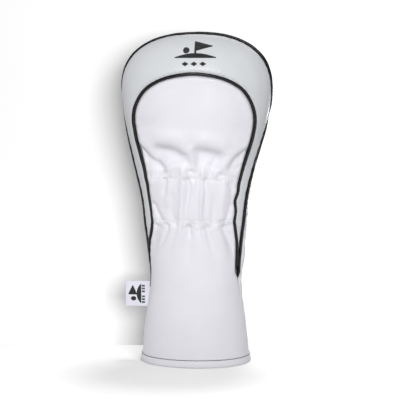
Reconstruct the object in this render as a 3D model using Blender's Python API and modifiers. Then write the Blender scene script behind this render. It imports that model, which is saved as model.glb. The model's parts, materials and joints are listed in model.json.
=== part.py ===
"""Driver head cover: sewn shell of three panels with two cord pipings, foam and lining, shirred elastic neck, folded hem and a side label.

Frame: +Z up, mouth down. The origin is the centre of the hem's rest plane, the front panel faces -Y, and +X is on its right-hand side.
All driving dimensions are millimetres; MM turns them into Blender metres.
"""

import math

import bmesh
import bpy
import numpy as np

MM = 0.001

# ---------------------------------------------------------------- driving dimensions
# Outline of the stuffed cover seen from the front, and its half depths, at heights above the hem.
HEIGHTS = [0.0, 9.0, 32.0, 57.0, 72.0, 86.0, 102.0, 110.0, 126.0, 142.0, 158.0, 174.0, 190.0, 206.0, 222.0, 238.0, 254.0, 271.5]
HALF_WIDTHS = [54.5, 53.5, 51.6, 48.2, 46.0, 45.0, 46.3, 47.2, 48.9, 50.9, 52.4, 54.9, 58.3, 61.9, 65.7, 69.4, 72.3, 73.6]
DEPTH_HEIGHTS = [0.0, 32.0, 60.0, 86.0, 110.0, 142.0, 174.0, 206.0, 238.0, 271.5]
FRONT_DEPTHS = [37.0, 35.0, 32.8, 31.2, 31.6, 33.4, 37.2, 42.6, 46.9, 48.6]
BACK_DEPTHS = [37.0, 34.6, 32.4, 31.2, 31.8, 34.0, 38.6, 44.4, 48.6, 49.8]
LEAN_HEIGHTS = [0.0, 57.0, 100.0, 142.0, 190.0, 238.0, 271.5]
LEANS = [-1.0, -1.4, -0.6, -0.5, -1.3, -0.9, -0.3]
CROWN_Z = 271.5  # height of the widest section, where the dome starts
CROWN_RISE = 54.0  # from the widest section to the top
ARCH_POWER = 2.35  # roundness of the dome's outline
SECTION_POWERS = ([0.0, 90.0, 160.0, 230.0, CROWN_Z], [2.12, 2.14, 2.22, 2.34, 2.35])
ARC_MM = 53.5  # dome surface length for one radian of the chart

SHELL_T = 1.1  # coated fabric of the outer panels
FOAM_T = 2.3
FOAM_DEPTH = 1.95  # outer face of the foam under the outer surface
LINING_T = 1.6
ELASTIC_T = 1.0
PIPING_R = 1.5
SEAM_GAP = 0.35  # half of the gap where two panels meet with no piping
PIPING_INSET = 2.1  # panel edge to piping centre line
LINING_DEPTH = ([0.0, 25.0, 110.0, 170.0, 191.0, 215.0, CROWN_Z, 340.0], [1.9, 1.9, 3.2, 3.6, 5.1, 5.2, 5.2, 5.2])

PANEL_FOOT_Z = 2.3  # lower edge of the panels and lining inside the hem fold
HEM_TOP_Z = 8.8
HEM_T = 0.8
HEM_STITCH_Z = 7.5
ELASTIC_Z = (140.5, 189.5)
UPPER_ROW_Z = 186.5
LOWER_ROW_Z = 143.0
ROW_H = 3.6  # width of a zigzag row
FOAM_FOOT_Z = 194.0

# Front seam, half pattern seen from the front: (distance from the centre line, height).
FRONT_ARCH = [(0.0, 285.6), (11.4, 284.7), (22.9, 282.6), (34.3, 278.6), (45.4, 271.2), (51.6, 262.6), (55.5, 253.0), (57.3, 242.0),
              (56.6, 231.0), (54.4, 220.0), (51.3, 209.0), (48.0, 198.0), (45.3, 186.0), (43.2, 174.0), (41.5, 162.0), (40.3, 150.0)]
# The seam's lower ends, as (angle round the body from the front, height), where it closes on the perimeter seam.
FRONT_TIP_LEFT = [(51.5, 139.0), (60.0, 129.0), (71.0, 120.5), (78.5, 111.5), (82.5, 102.0), (84.6, 94.0)]
FRONT_TIP_RIGHT = [(49.2, 139.0), (52.6, 129.0), (55.8, 120.5), (58.4, 111.5), (60.4, 102.0), (62.3, 94.0)]
# Perimeter seam, (angle round the body from the front, height), from the hem up to the widest section.
PERIMETER_LEFT = [(93.0, 0.0), (93.5, 30.0), (94.0, 60.0), (94.6, 80.0), (93.0, 92.0), (90.2, 104.0), (87.2, 116.0), (84.0, 130.0), (81.7, 145.0), (80.3, 160.0),
                  (79.6, 176.0), (80.0, 192.0), (80.6, 207.0), (82.0, 222.0), (84.6, 236.0), (89.0, 247.0), (94.0, 258.0), (91.0, CROWN_Z)]
PERIMETER_RIGHT = [(93.0, 0.0), (91.0, 30.0), (84.0, 58.0), (75.6, 76.0), (70.8, 88.0), (67.4, 100.0), (65.8, 114.0), (65.4, 130.0), (66.4, 145.0), (67.8, 160.0),
                   (69.0, 176.0), (71.4, 192.0), (75.2, 207.0), (80.6, 222.0), (87.6, 236.0), (92.4, 247.0), (90.6, 258.0), (85.6, CROWN_Z)]
# Over the dome: (direction from the right-hand end, angle from the front).
PERIMETER_ARCH = [(20.0, 81.6), (45.0, 82.2), (70.0, 84.6), (90.0, 86.2), (110.0, 86.8), (135.0, 87.2), (160.0, 89.0)]
# How far the front seam's plain run is drawn outwards: heights, distances.
LEFT_PULL = ([88.0, 120.0, 129.0, 139.0, 148.0, 158.0, 167.0, 177.0, 186.0, 196.0, 205.0, 215.0, 234.0, 243.0, 253.0, 263.0, 272.0, 281.0],
             [0.0, 0.0, 0.9, 2.3, 2.9, 2.8, 2.7, 2.2, 1.7, 1.2, 0.8, 0.3, 0.4, 1.3, 2.0, 1.5, 0.8, 0.0])
RIGHT_PULL = ([88.0, 100.0, 112.0, 122.0, 132.0, 139.0, 148.0, 158.0, 167.0, 177.0, 186.0, 196.0, 215.0, 234.0, 243.0, 253.0, 263.0, 272.0, 281.0],
              [0.0, 0.0, 0.0, 0.2, 0.2, 0.0, -0.7, -0.9, -0.9, -0.9, -0.1, 0.5, 0.8, 1.2, 1.4, 1.3, 0.9, 0.6, 0.0])
PIPING_END_Z = (70.0, 87.0)  # the perimeter piping stops here, left and right; plain side seams below
FRONT_PIPING_END_Z = (94.0, 96.0)

LABEL_Z = (52.9, 78.5)
LABEL_END_X = -73.2
LABEL_OUT = 2.0  # flap axis outside the body's surface, level with the piping's crest
LABEL_BEHIND = 2.45  # the tape comes out of the seam right behind the piping
LABEL_PLY = 0.45
LABEL_HALF = 0.62
LABEL_MARK = (-70.0, -57.0, 57.0, 74.4)  # the woven mark: x from, x to, z from, z to

# ---------------------------------------------------------------- curves through stations


def spline(xs, ys, end_slope=None):
    """Natural cubic through the stations; end_slope clamps the upper end. Returns a function of numpy arrays."""
    xs, ys = np.asarray(xs, float), np.asarray(ys, float)
    n = len(xs)
    h = np.diff(xs)
    m = np.zeros((n, n))
    r = np.zeros(n)
    m[0, 0] = m[-1, -1] = 1.0
    for i in range(1, n - 1):
        m[i, i - 1], m[i, i], m[i, i + 1] = h[i - 1], 2 * (h[i - 1] + h[i]), h[i]
        r[i] = 6 * ((ys[i + 1] - ys[i]) / h[i] - (ys[i] - ys[i - 1]) / h[i - 1])
    if end_slope is not None:
        m[-1, -2], m[-1, -1] = h[-1], 2 * h[-1]
        r[-1] = 6 * (end_slope - (ys[-1] - ys[-2]) / h[-1])
    k = np.linalg.solve(m, r)

    def value(x):
        x = np.clip(np.asarray(x, float), xs[0], xs[-1])
        i = np.clip(np.searchsorted(xs, x, side="right") - 1, 0, n - 2)
        a, b = xs[i + 1] - x, x - xs[i]
        return (
            k[i] * a**3 / (6 * h[i])
            + k[i + 1] * b**3 / (6 * h[i])
            + (ys[i] / h[i] - k[i] * h[i] / 6) * a
            + (ys[i + 1] / h[i] - k[i + 1] * h[i] / 6) * b
        )

    return value


half_width = spline(HEIGHTS, HALF_WIDTHS, 0.0)
front_depth = spline(DEPTH_HEIGHTS, FRONT_DEPTHS, 0.0)
back_depth = spline(DEPTH_HEIGHTS, BACK_DEPTHS, 0.0)
lean = spline(LEAN_HEIGHTS, LEANS, 0.0)
section_power = spline(*SECTION_POWERS, 0.0)


def lining_depth(z):
    return np.interp(z, *LINING_DEPTH)


# ---------------------------------------------------------------- the body surface
# A chart is an unrolled half of the body: a is the angle round it in degrees, left to right, from the middle of that
# side, and b is the height. Above the widest section (a, b) opens into rings round the point (0, CROWN_Z).


def ring(t, n):
    """Superellipse in polar form: (share of the half width, share of the half depth)."""
    s, c = np.sin(t), np.cos(t)
    r = (np.abs(s) ** n + np.abs(c) ** n) ** (-1.0 / n)
    return s * r, c * r


def surface(side, a, b):
    """Points of the outer surface, in mm. side is 1 for the chart of the front and -1 for the chart of the back."""
    a, b = np.broadcast_arrays(np.radians(np.asarray(a, float)), np.asarray(b, float))
    up = np.maximum(b - CROWN_Z, 0.0) / ARC_MM
    z = np.minimum(b, CROWN_Z)
    t = (np.abs(a) ** ARCH_POWER + up**ARCH_POWER) ** (1 / ARCH_POWER)
    t = np.maximum(t, 1e-9)
    rho, dep = ring(t, section_power(z))
    x = lean(z) + half_width(z) * rho * a / t
    zz = z + CROWN_RISE * rho * up / t
    near, far = (front_depth(z), back_depth(z)) if side > 0 else (back_depth(z), front_depth(z))
    y = -side * np.where(dep > 0, near, far) * dep
    return np.stack([x, y, zz], axis=-1)


def frame_at(side, a, b):
    """Two tangents and the outward normal of the surface."""
    pa = surface(side, np.asarray(a) + 0.05, b) - surface(side, np.asarray(a) - 0.05, b)
    pb = surface(side, a, np.asarray(b) + 0.05) - surface(side, a, np.asarray(b) - 0.05)
    n = np.cross(pa, pb) * side
    return pa / 0.1, pb / 0.1, n / np.linalg.norm(n, axis=-1, keepdims=True)


def skin(side, a, b, off):
    """Surface points moved off mm outwards."""
    _, _, n = frame_at(side, a, b)
    return surface(side, a, b) + n * np.asarray(off, float)[..., None]


def front_to_chart(x, z):
    """Chart coordinates of a point of the front given by its place in the front view."""
    low = min(z, CROWN_Z)
    u = (x - float(lean(low))) / float(half_width(low))
    w = max(z - CROWN_Z, 0.0) / CROWN_RISE
    rho = (abs(u) ** ARCH_POWER + w**ARCH_POWER) ** (1 / ARCH_POWER)
    n = float(section_power(low))
    t = math.atan2(rho, (1 - rho**n) ** (1 / n))
    if rho < 1e-9:
        return 0.0, low
    return math.degrees(t * u / rho), low + ARC_MM * t * w / rho


def to_back(a, b):
    """The same points in the back's chart."""
    a, b = np.asarray(a, float), np.asarray(b, float)
    up = np.degrees(np.maximum(b - CROWN_Z, 0.0) / ARC_MM)
    t = (np.abs(a) ** ARCH_POWER + up**ARCH_POWER) ** (1 / ARCH_POWER)
    k = (180.0 - t) / np.maximum(t, 1e-9)
    return a * k, np.where(b > CROWN_Z, CROWN_Z + np.radians(up * k) * ARC_MM, b)


# ---------------------------------------------------------------- seam lines, as chart polylines from left to right


def even(points, count):
    """The polyline again with evenly spaced points; an angle counts about 0.8 mm a degree."""
    p = np.asarray(points, float)
    d = np.concatenate([[0], np.cumsum(np.hypot(np.diff(p[:, 0]) * 0.8, np.diff(p[:, 1])))])
    s = np.linspace(0, d[-1], count)
    return np.stack([np.interp(s, d, p[:, 0]), np.interp(s, d, p[:, 1])], axis=1)


def smooth(points, count=600):
    p = np.asarray(points, float)
    d = np.concatenate([[0], np.cumsum(np.hypot(np.diff(p[:, 0]) * 0.8, np.diff(p[:, 1])))])
    fa, fb = spline(d, p[:, 0]), spline(d, p[:, 1])
    s = np.linspace(0, d[-1], count)
    return even(np.stack([fa(s), fb(s)], axis=1), count)


def arch_point(direction, t):
    """Chart point over the dome at a direction (0 right, 90 top, 180 left) and an angle from the front."""
    c, s = math.cos(math.radians(direction)), math.sin(math.radians(direction))
    r = (abs(c) ** ARCH_POWER + abs(s) ** ARCH_POWER) ** (-1 / ARCH_POWER)
    return t * c * r, CROWN_Z + math.radians(t * s * r) * ARC_MM


right_half = [front_to_chart(float(lean(min(z, CROWN_Z))) + x, z) for x, z in FRONT_ARCH]
left_half = [(-a, b) for a, b in right_half]
front_seam = smooth([(-a, b) for a, b in reversed(FRONT_TIP_LEFT)] + left_half[:0:-1] + right_half + FRONT_TIP_RIGHT)
perimeter = smooth([(-a, b) for a, b in PERIMETER_LEFT] + [arch_point(d, t) for d, t in reversed(PERIMETER_ARCH)] + [(a, b) for a, b in reversed(PERIMETER_RIGHT)], 900)


def drawn_out(line):
    """The front seam with its plain run moved sideways by LEFT_PULL and RIGHT_PULL."""
    a, b = line[:, 0], line[:, 1]
    z = surface(1, a, b)[:, 2]
    right = np.arange(len(line)) > len(line) // 2
    pull = np.where(right, np.interp(z, *RIGHT_PULL), -np.interp(z, *LEFT_PULL))
    step = (surface(1, a + 0.5, b) - surface(1, a - 0.5, b))[:, 0]
    return np.stack([a + pull / np.maximum(step, 0.3), b], axis=1)


front_seam = drawn_out(front_seam)


def inset(line, distance):
    """The chart line moved sideways over the surface by distance mm, positive towards its right-hand side as it runs."""
    a, b = line[:, 0], line[:, 1]
    pa, pb, n = frame_at(1, a, b)
    p = surface(1, a, b)
    run = np.gradient(p, axis=0)
    run /= np.linalg.norm(run, axis=1, keepdims=True)
    move = np.cross(run, n) * np.asarray(distance, float).reshape(-1, 1)
    g = np.stack([np.stack([(pa * pa).sum(1), (pa * pb).sum(1)], 1), np.stack([(pa * pb).sum(1), (pb * pb).sum(1)], 1)], 1)
    rhs = np.stack([(pa * move).sum(1), (pb * move).sum(1)], 1)
    d = np.linalg.solve(g, rhs[..., None])[..., 0]
    return line + d


def ramp(z, stations, values):
    return np.interp(z, stations, values)


def upper(line, z):
    """The part of a left-to-right seam line that lies above z at both ends."""
    i = np.nonzero(line[:, 1] >= z)[0]
    return line[i[0] : i[-1] + 1]


def split_sides(line, left_z, right_z=None):
    """The line as left rise, top and right rise; the corners are the points at 45 degrees on the dome."""
    up = np.degrees(np.maximum(line[:, 1] - CROWN_Z, 0) / ARC_MM)
    ang = np.degrees(np.arctan2(up, line[:, 0]))
    i = int(np.argmin(np.abs(ang - 138)))
    j = int(np.argmin(np.abs(ang - 42)))
    return line[: i + 1], line[i : j + 1], line[j:][::-1]


def coons(left, top, right, nu, nv, foot=None):
    """Chart grid between a left rise, a top line and a right rise (both from the bottom up); the foot is straight unless given."""
    l, r, t = even(left, nv + 1), even(right, nv + 1), even(top, nu + 1)
    f = even([l[0], r[0]] if foot is None else foot, nu + 1)
    u = np.linspace(0, 1, nu + 1)[None, :, None]
    v = np.linspace(0, 1, nv + 1)[:, None, None]
    g = (1 - u) * l[:, None] + u * r[:, None] + (1 - v) * f[None] + v * t[None]
    return g - ((1 - u) * (1 - v) * l[0] + u * (1 - v) * r[0] + (1 - u) * v * l[-1] + u * v * r[-1])


# ---------------------------------------------------------------- Blender objects

for stale in list(bpy.data.objects):
    bpy.data.objects.remove(stale, do_unlink=True)
cover = bpy.data.collections.new("driver_head_cover")
bpy.context.scene.collection.children.link(cover)


def material(name, colour, roughness, metallic=0.0):
    m = bpy.data.materials.new(name)
    m.use_nodes = True
    s = m.node_tree.nodes["Principled BSDF"]
    s.inputs["Base Color"].default_value = (*colour, 1.0)
    s.inputs["Roughness"].default_value = roughness
    s.inputs["Metallic"].default_value = metallic
    return m


WHITE = material("white_coated_fabric", (0.83, 0.82, 0.86), 0.45)
GREY = material("grey_coated_fabric", (0.70, 0.71, 0.74), 0.42)
BLACK = material("black_piping", (0.012, 0.012, 0.013), 0.35)
FLEECE = material("lining_fleece", (0.10, 0.10, 0.11), 0.95)
FOAM = material("padding_foam", (0.62, 0.62, 0.60), 0.95)
ELASTIC = material("elastic_webbing", (0.80, 0.80, 0.80), 0.85)
THREAD = material("white_thread", (0.86, 0.86, 0.92), 0.6)
DARK = material("dark_thread", (0.05, 0.05, 0.055), 0.6)
WOVEN = material("label_woven", (0.85, 0.84, 0.93), 0.55)


def add(name, mesh, mat, smooth_angle=40.0):
    obj = bpy.data.objects.new(name, mesh)
    cover.objects.link(obj)
    mesh.materials.append(mat)
    mesh.shade_smooth()
    mesh.set_sharp_from_angle(angle=math.radians(smooth_angle))
    return obj


def sheet_mesh(name, rows, closed=False):
    """An open surface through a grid of points in mm, (rows, columns, 3); closed joins the last column to the first."""
    nv, nu = rows.shape[:2]
    bm = bmesh.new()
    vs = [[bm.verts.new(tuple(float(c) * MM for c in p)) for p in row] for row in rows]
    for j in range(nv - 1):
        for i in range(nu if closed else nu - 1):
            k = (i + 1) % nu
            bm.faces.new((vs[j][i], vs[j][k], vs[j + 1][k], vs[j + 1][i]))
    mesh = bpy.data.meshes.new(name)
    bm.to_mesh(mesh)
    bm.free()
    return mesh


def shell(name, side, grid, outer, thickness, mat):
    """A sewn layer: the chart grid at depth -outer under the surface, with its thickness inwards."""
    a, b = grid[..., 0], grid[..., 1]
    points = skin(side, a, b, -np.broadcast_to(np.asarray(outer, float), a.shape))
    if side < 0:
        points = points[:, ::-1]
    obj = add(name, sheet_mesh(name, points), mat)
    s = obj.modifiers.new("thickness", "SOLIDIFY")
    s.thickness = abs(thickness) * MM
    s.offset = -1.0 if thickness > 0 else 1.0
    s.use_even_offset = True
    return obj


def tube(name, points, radius, mat, cyclic=False, resolution=1):
    curve = bpy.data.curves.new(name, "CURVE")
    curve.dimensions = "3D"
    curve.bevel_depth = radius * MM
    curve.bevel_resolution = resolution
    curve.use_fill_caps = True
    s = curve.splines.new("POLY")
    s.points.add(len(points) - 1)
    for q, p in zip(s.points, points):
        q.co = (*(float(c) * MM for c in p), 1.0)
    s.use_cyclic_u = cyclic
    obj = bpy.data.objects.new(name, curve)
    cover.objects.link(obj)
    curve.materials.append(mat)
    return obj


# ---------------------------------------------------------------- outer panels

zp = perimeter[:, 1]
half = len(perimeter) // 2


def by_side(stations, values):
    """A value along the perimeter seam; the stations are heights from the end of each side's piping."""
    below = np.where(np.arange(len(zp)) < half, PIPING_END_Z[0], PIPING_END_Z[1])
    return np.interp(zp - below, stations, values)


back_edge = inset(perimeter, -by_side([-7.0, -2.0], [SEAM_GAP, PIPING_INSET]))
back_edge = upper(back_edge, PANEL_FOOT_Z)
low_edge = inset(perimeter, by_side([-9.0, -4.0], [SEAM_GAP, PIPING_INSET]) + ramp(zp, [86.0, 91.5], [0.0, 3.7]))
front_top = inset(front_seam, PIPING_INSET)


def low_part(line, z_top):
    keep = (line[:, 1] >= PANEL_FOOT_Z) & (line[:, 1] <= z_top)
    return line[:half][keep[:half]], line[half:][keep[half:]]


low_left, low_right = low_part(low_edge, 90.5)
front_edge = np.concatenate([low_left, upper(front_top, 95.5), low_right])
front_edge = even(front_edge, 900)

fl, ft, fr = split_sides(front_edge, 0)
front_grid = coons(fl, ft, fr, 16, 28)
shell("front_panel", 1, front_grid, 0.0, SHELL_T, WHITE)

bl, bt, br = split_sides(np.stack(to_back(back_edge[:, 0], back_edge[:, 1]), 1), 0)
back_grid = coons(bl, bt, br, 20, 28)
shell("back_panel", -1, back_grid, 0.0, SHELL_T, WHITE)


def strip(outer_line, inner_line, along, across):
    """Chart grid between two left-to-right lines, matched leg to leg and arch to arch."""

    def matched(line):
        i = int(np.argmax(line[:, 1] >= CROWN_Z))
        j = len(line) - 1 - int(np.argmax(line[::-1, 1] >= CROWN_Z))
        legs, arch = along * 3 // 10, along - 2 * (along * 3 // 10)
        return np.concatenate([even(line[: i + 1], legs + 1)[:-1], even(line[i : j + 1], arch + 1)[:-1], even(line[j:], legs + 1)])

    o, i = matched(outer_line), matched(inner_line)
    v = np.linspace(0, 1, across + 1)[:, None, None]
    return (1 - v) * i[None] + v * o[None]


def gusset_grid(inset_front, inset_rear, z_left, z_right, along, across):
    f = inset(front_seam, -inset_front)
    r = inset(perimeter, inset_rear)
    mid = len(f) // 2

    def cut(line, mid):
        i = np.nonzero(line[:mid, 1] >= z_left)[0][0]
        j = mid + np.nonzero(line[mid:, 1] >= z_right)[0][-1]
        return line[i : j + 1]

    return strip(cut(r, len(r) // 2), cut(f, mid), along, across)


crown_grid = gusset_grid(PIPING_INSET, PIPING_INSET, 97.0, 100.5, 66, 6)
shell("crown_gusset", 1, crown_grid, 0.0, SHELL_T, GREY)

# ---------------------------------------------------------------- piping


def seam_tube(name, line, end_z, count, off):
    mid = len(line) // 2
    i = int(np.nonzero(line[:mid, 1] >= end_z[0])[0][0])
    j = mid + int(np.nonzero(line[mid:, 1] >= end_z[1])[0][-1])
    line = even(line[i : j + 1], count)
    return tube(name, skin(1, line[:, 0], line[:, 1], np.full(count, off)), PIPING_R, BLACK)


seam_tube("front_piping", front_seam, FRONT_PIPING_END_Z, 56, 0.2)
seam_tube("rear_piping", perimeter, PIPING_END_Z, 64, 0.2)

# ---------------------------------------------------------------- padding behind the head panels

FOAM_INSET = 3.6


def foot_cut(edge_line, foot_z):
    return even(upper(edge_line, foot_z), 700)


pad_edge = foot_cut(inset(front_seam, FOAM_INSET), FOAM_FOOT_Z)
pl, pt, pr = split_sides(pad_edge, 0)
shell("front_padding", 1, coons(pl, pt, pr, 12, 10), FOAM_DEPTH, FOAM_T, FOAM)
pad_back = foot_cut(inset(perimeter, -FOAM_INSET), FOAM_FOOT_Z)
ql, qt, qr = split_sides(np.stack(to_back(pad_back[:, 0], pad_back[:, 1]), 1), 0)
shell("back_padding", -1, coons(ql, qt, qr, 16, 12), FOAM_DEPTH, FOAM_T, FOAM)
shell("gusset_padding", 1, gusset_grid(FOAM_INSET, FOAM_INSET, FOAM_FOOT_Z, FOAM_FOOT_Z, 48, 5), FOAM_DEPTH, FOAM_T, FOAM)

# ---------------------------------------------------------------- lining: a front and a back half, joined down the sides

LINING_EDGE = 89.6
legs = [(-LINING_EDGE, z) for z in np.linspace(PANEL_FOOT_Z, CROWN_Z, 60)]
arch = [arch_point(d, LINING_EDGE) for d in np.linspace(180, 0, 90)]
lining_line = np.array(legs + arch[1:-1] + [(-a, b) for a, b in reversed(legs)])
ll, lt, lr = split_sides(lining_line, 0)
lining_grid = coons(ll, lt, lr, 18, 18)
shell("front_lining", 1, lining_grid, lining_depth(np.minimum(lining_grid[..., 1], 330)), LINING_T, FLEECE)
shell("back_lining", -1, lining_grid, lining_depth(np.minimum(lining_grid[..., 1], 330)), LINING_T, FLEECE)

# ---------------------------------------------------------------- shirring: elastic bands behind the panels, zigzag rows on them


def limits_at(line, z):
    """Angles of the left and right edges of a chart line at a height in the neck."""
    m = len(line) // 2
    left = np.interp(z, line[:m][:, 1], line[:m][:, 0])
    right = np.interp(z, line[m:][::-1, 1], line[m:][::-1, 0])
    return left, right


def band_grid(line, z0, z1, rows, columns, margin):
    g = np.zeros((rows + 1, columns + 1, 2))
    for j, z in enumerate(np.linspace(z0, z1, rows + 1)):
        l, r = limits_at(line, z)
        g[j, :, 0] = np.linspace(l + margin, r - margin, columns + 1)
        g[j, :, 1] = z
    return g


front_line = front_edge
back_line = np.stack(to_back(back_edge[:, 0], back_edge[:, 1]), 1)
shell("front_elastic", 1, band_grid(front_line, *ELASTIC_Z, 4, 12, 1.5), 1.7, ELASTIC_T, ELASTIC)
shell("back_elastic", -1, band_grid(back_line, *ELASTIC_Z, 4, 16, 1.5), 1.7, ELASTIC_T, ELASTIC)
for row, z in (("upper", UPPER_ROW_Z), ("lower", LOWER_ROW_Z)):
    shell(f"front_{row}_zigzag", 1, band_grid(front_line, z - ROW_H / 2, z + ROW_H / 2, 1, 16, 1.0), -0.35, -0.5, THREAD)
    shell(f"back_{row}_zigzag", -1, band_grid(back_line, z - ROW_H / 2, z + ROW_H / 2, 1, 24, 1.0), -0.35, -0.5, THREAD)

# ---------------------------------------------------------------- hem: a fold round the lower edges of panels and lining, with its stitch line

HEM_SEGMENTS = 56
turn = np.linspace(-180, 180, HEM_SEGMENTS + 1)[:-1]


def hem_row(off, z):
    """The body's section at height z, moved off mm outwards in its own plane."""
    p = surface(1, turn, np.full(len(turn), z))
    q = surface(1, turn + 0.1, np.full(len(turn), z)) - surface(1, turn - 0.1, np.full(len(turn), z))
    n = np.stack([q[:, 1], -q[:, 0]], 1)
    n /= np.linalg.norm(n, axis=1, keepdims=True)
    p[:, :2] += n * off
    p[:, 2] = z
    return p


HEM_OUT, HEM_IN = 1.25, -5.3
profile = [(HEM_IN, HEM_TOP_Z), (HEM_IN, 1.5), (HEM_IN + 0.9, 0.0), (HEM_OUT - 0.9, 0.0), (HEM_OUT, 1.5), (HEM_OUT, HEM_TOP_Z)]
hem_rows = []
for off, z in profile:
    p = hem_row(off, max(z, 0.0))
    hem_rows.append(p)
hem = add("hem_band", sheet_mesh("hem_band", np.stack(hem_rows), closed=True), WHITE)
s = hem.modifiers.new("thickness", "SOLIDIFY")
s.thickness = HEM_T * MM
s.offset = -1.0
s.use_even_offset = True

tube("hem_topstitch", hem_row(HEM_OUT + 0.35 + 0.3, HEM_STITCH_Z), 0.3, DARK, cyclic=True, resolution=0)

# ---------------------------------------------------------------- side label: a folded tape in the left side seam, and its woven mark

z0, z1 = LABEL_Z


def seam_point(z):
    """Where the label's free part begins at a height: past the piping's crest, behind the left side seam."""
    ang = float(np.interp(z, [q[1] for q in PERIMETER_LEFT], [q[0] for q in PERIMETER_LEFT]))
    return skin(1, -ang, z, LABEL_OUT) + np.array([0.0, LABEL_BEHIND, 0.0])


pivot = (seam_point(z0) + seam_point(z1)) / 2
lean_out = (seam_point(z1) - seam_point(z0)) / (z1 - z0)  # the seam's slope, and the flap axis
flap = bpy.data.objects.new("label_flap_axis", None)
flap.empty_display_type = "SINGLE_ARROW"
flap.empty_display_size = 0.02
flap.location = tuple(float(c) * MM for c in pivot)
cover.objects.link(flap)

fold = [(math.cos(q), math.sin(q)) for q in np.linspace(math.pi / 2, 3 * math.pi / 2, 7)]
label_rows = []
for z in (z0, (z0 + z1) / 2, z1):
    at_z = pivot + lean_out * (z - pivot[2])
    root, mid, tip = at_z[0], (at_z[0] + LABEL_END_X) / 2, LABEL_END_X + LABEL_HALF
    xs = [root, mid] + [tip + LABEL_HALF * c for c, _ in fold] + [mid, root]
    ys = [LABEL_HALF, LABEL_HALF] + [LABEL_HALF * q for _, q in fold] + [-LABEL_HALF, -LABEL_HALF]
    label_rows.append([(x - pivot[0], y, z - pivot[2]) for x, y in zip(xs, ys)])
label = add("side_label", sheet_mesh("side_label", np.array(label_rows)), WOVEN)
s = label.modifiers.new("thickness", "SOLIDIFY")
s.thickness = LABEL_PLY * MM
s.offset = -1.0
s.use_even_offset = True
label.parent = flap


def flat_plate(name, outline, y, thickness, mat):
    """A thin plate facing -Y, from a flat outline (x, z) extruded by half its thickness each way."""
    curve = bpy.data.curves.new(name, "CURVE")
    curve.dimensions = "2D"
    curve.fill_mode = "BOTH"
    curve.extrude = thickness / 2 * MM
    sp = curve.splines.new("POLY")
    sp.points.add(len(outline) - 1)
    for q, (x, z) in zip(sp.points, outline):
        q.co = (x * MM, z * MM, 0.0, 1.0)
    sp.use_cyclic_u = True
    obj = bpy.data.objects.new(name, curve)
    cover.objects.link(obj)
    curve.materials.append(mat)
    obj.rotation_euler = (math.pi / 2, 0.0, 0.0)
    obj.location = (0.0, y * MM, 0.0)
    return obj


mark = [(LABEL_MARK[0], LABEL_MARK[2]), (LABEL_MARK[1], LABEL_MARK[2]), (LABEL_MARK[1], LABEL_MARK[3]), (LABEL_MARK[0], LABEL_MARK[3])]
plate = flat_plate("label_mark", [(x - pivot[0], z - pivot[2]) for x, z in mark], -(LABEL_HALF + 0.3 + 0.15), 0.3, DARK)
plate.parent = flap

# ---------------------------------------------------------------- embroidery on the crown: a plain oval field and a bar under it


def chart_patch(cx, cz, rx, rz, ring_count, spokes):
    """Chart grid of an oval patch, as rings round its centre, in front-view mm."""
    g = []
    for k in range(1, ring_count + 1):
        row = []
        for q in np.linspace(0, 2 * math.pi, spokes, endpoint=False):
            row.append(front_to_chart(cx + rx * k / ring_count * math.cos(q), cz + rz * k / ring_count * math.sin(q)))
        g.append(row)
    return np.array(g)


def oval(name, cx, cz, rx, rz, ring_count, spokes, off, thickness, mat):
    g = chart_patch(cx, cz, rx, rz, ring_count, spokes)
    pts = skin(1, g[..., 0], g[..., 1], np.full(g.shape[:2], off))
    c = front_to_chart(cx, cz)
    centre = skin(1, np.array([c[0]]), np.array([c[1]]), np.array([off]))[0]
    mesh = sheet_mesh(name, pts, closed=True)
    bm = bmesh.new()
    bm.from_mesh(mesh)
    bm.verts.ensure_lookup_table()
    hub = bm.verts.new(tuple(float(v) * MM for v in centre))
    bm.verts.ensure_lookup_table()
    for i in range(spokes):
        bm.faces.new((hub, bm.verts[i], bm.verts[(i + 1) % spokes]))
    bmesh.ops.recalc_face_normals(bm, faces=bm.faces)
    bm.to_mesh(mesh)
    bm.free()
    if mesh.polygons[len(mesh.polygons) - 1].normal.y > 0:
        mesh.flip_normals()
    obj = add(name, mesh, mat)
    s = obj.modifiers.new("thickness", "SOLIDIFY")
    s.thickness = thickness * MM
    s.offset = 1.0
    return obj


oval("crown_emblem", 0.4, 309.8, 20.8, 7.9, 4, 20, 0.45, 0.5, DARK)
oval("crown_emblem_bar", -0.2, 295.2, 11.2, 2.1, 2, 16, 0.45, 0.4, DARK)
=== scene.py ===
"""The looks of the driver head cover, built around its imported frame.

Fabric panels are fine grids over the same body surface as the CAD, with the folds sewn in, a cloth pass to settle them, and
threads, piping, hem, label and embroidery as their own meshes. Lengths in the tables are millimetres.
"""

import json
import math

import bpy
import numpy as np
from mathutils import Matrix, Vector
from mathutils.bvhtree import BVHTree
from mathutils.kdtree import KDTree

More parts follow.
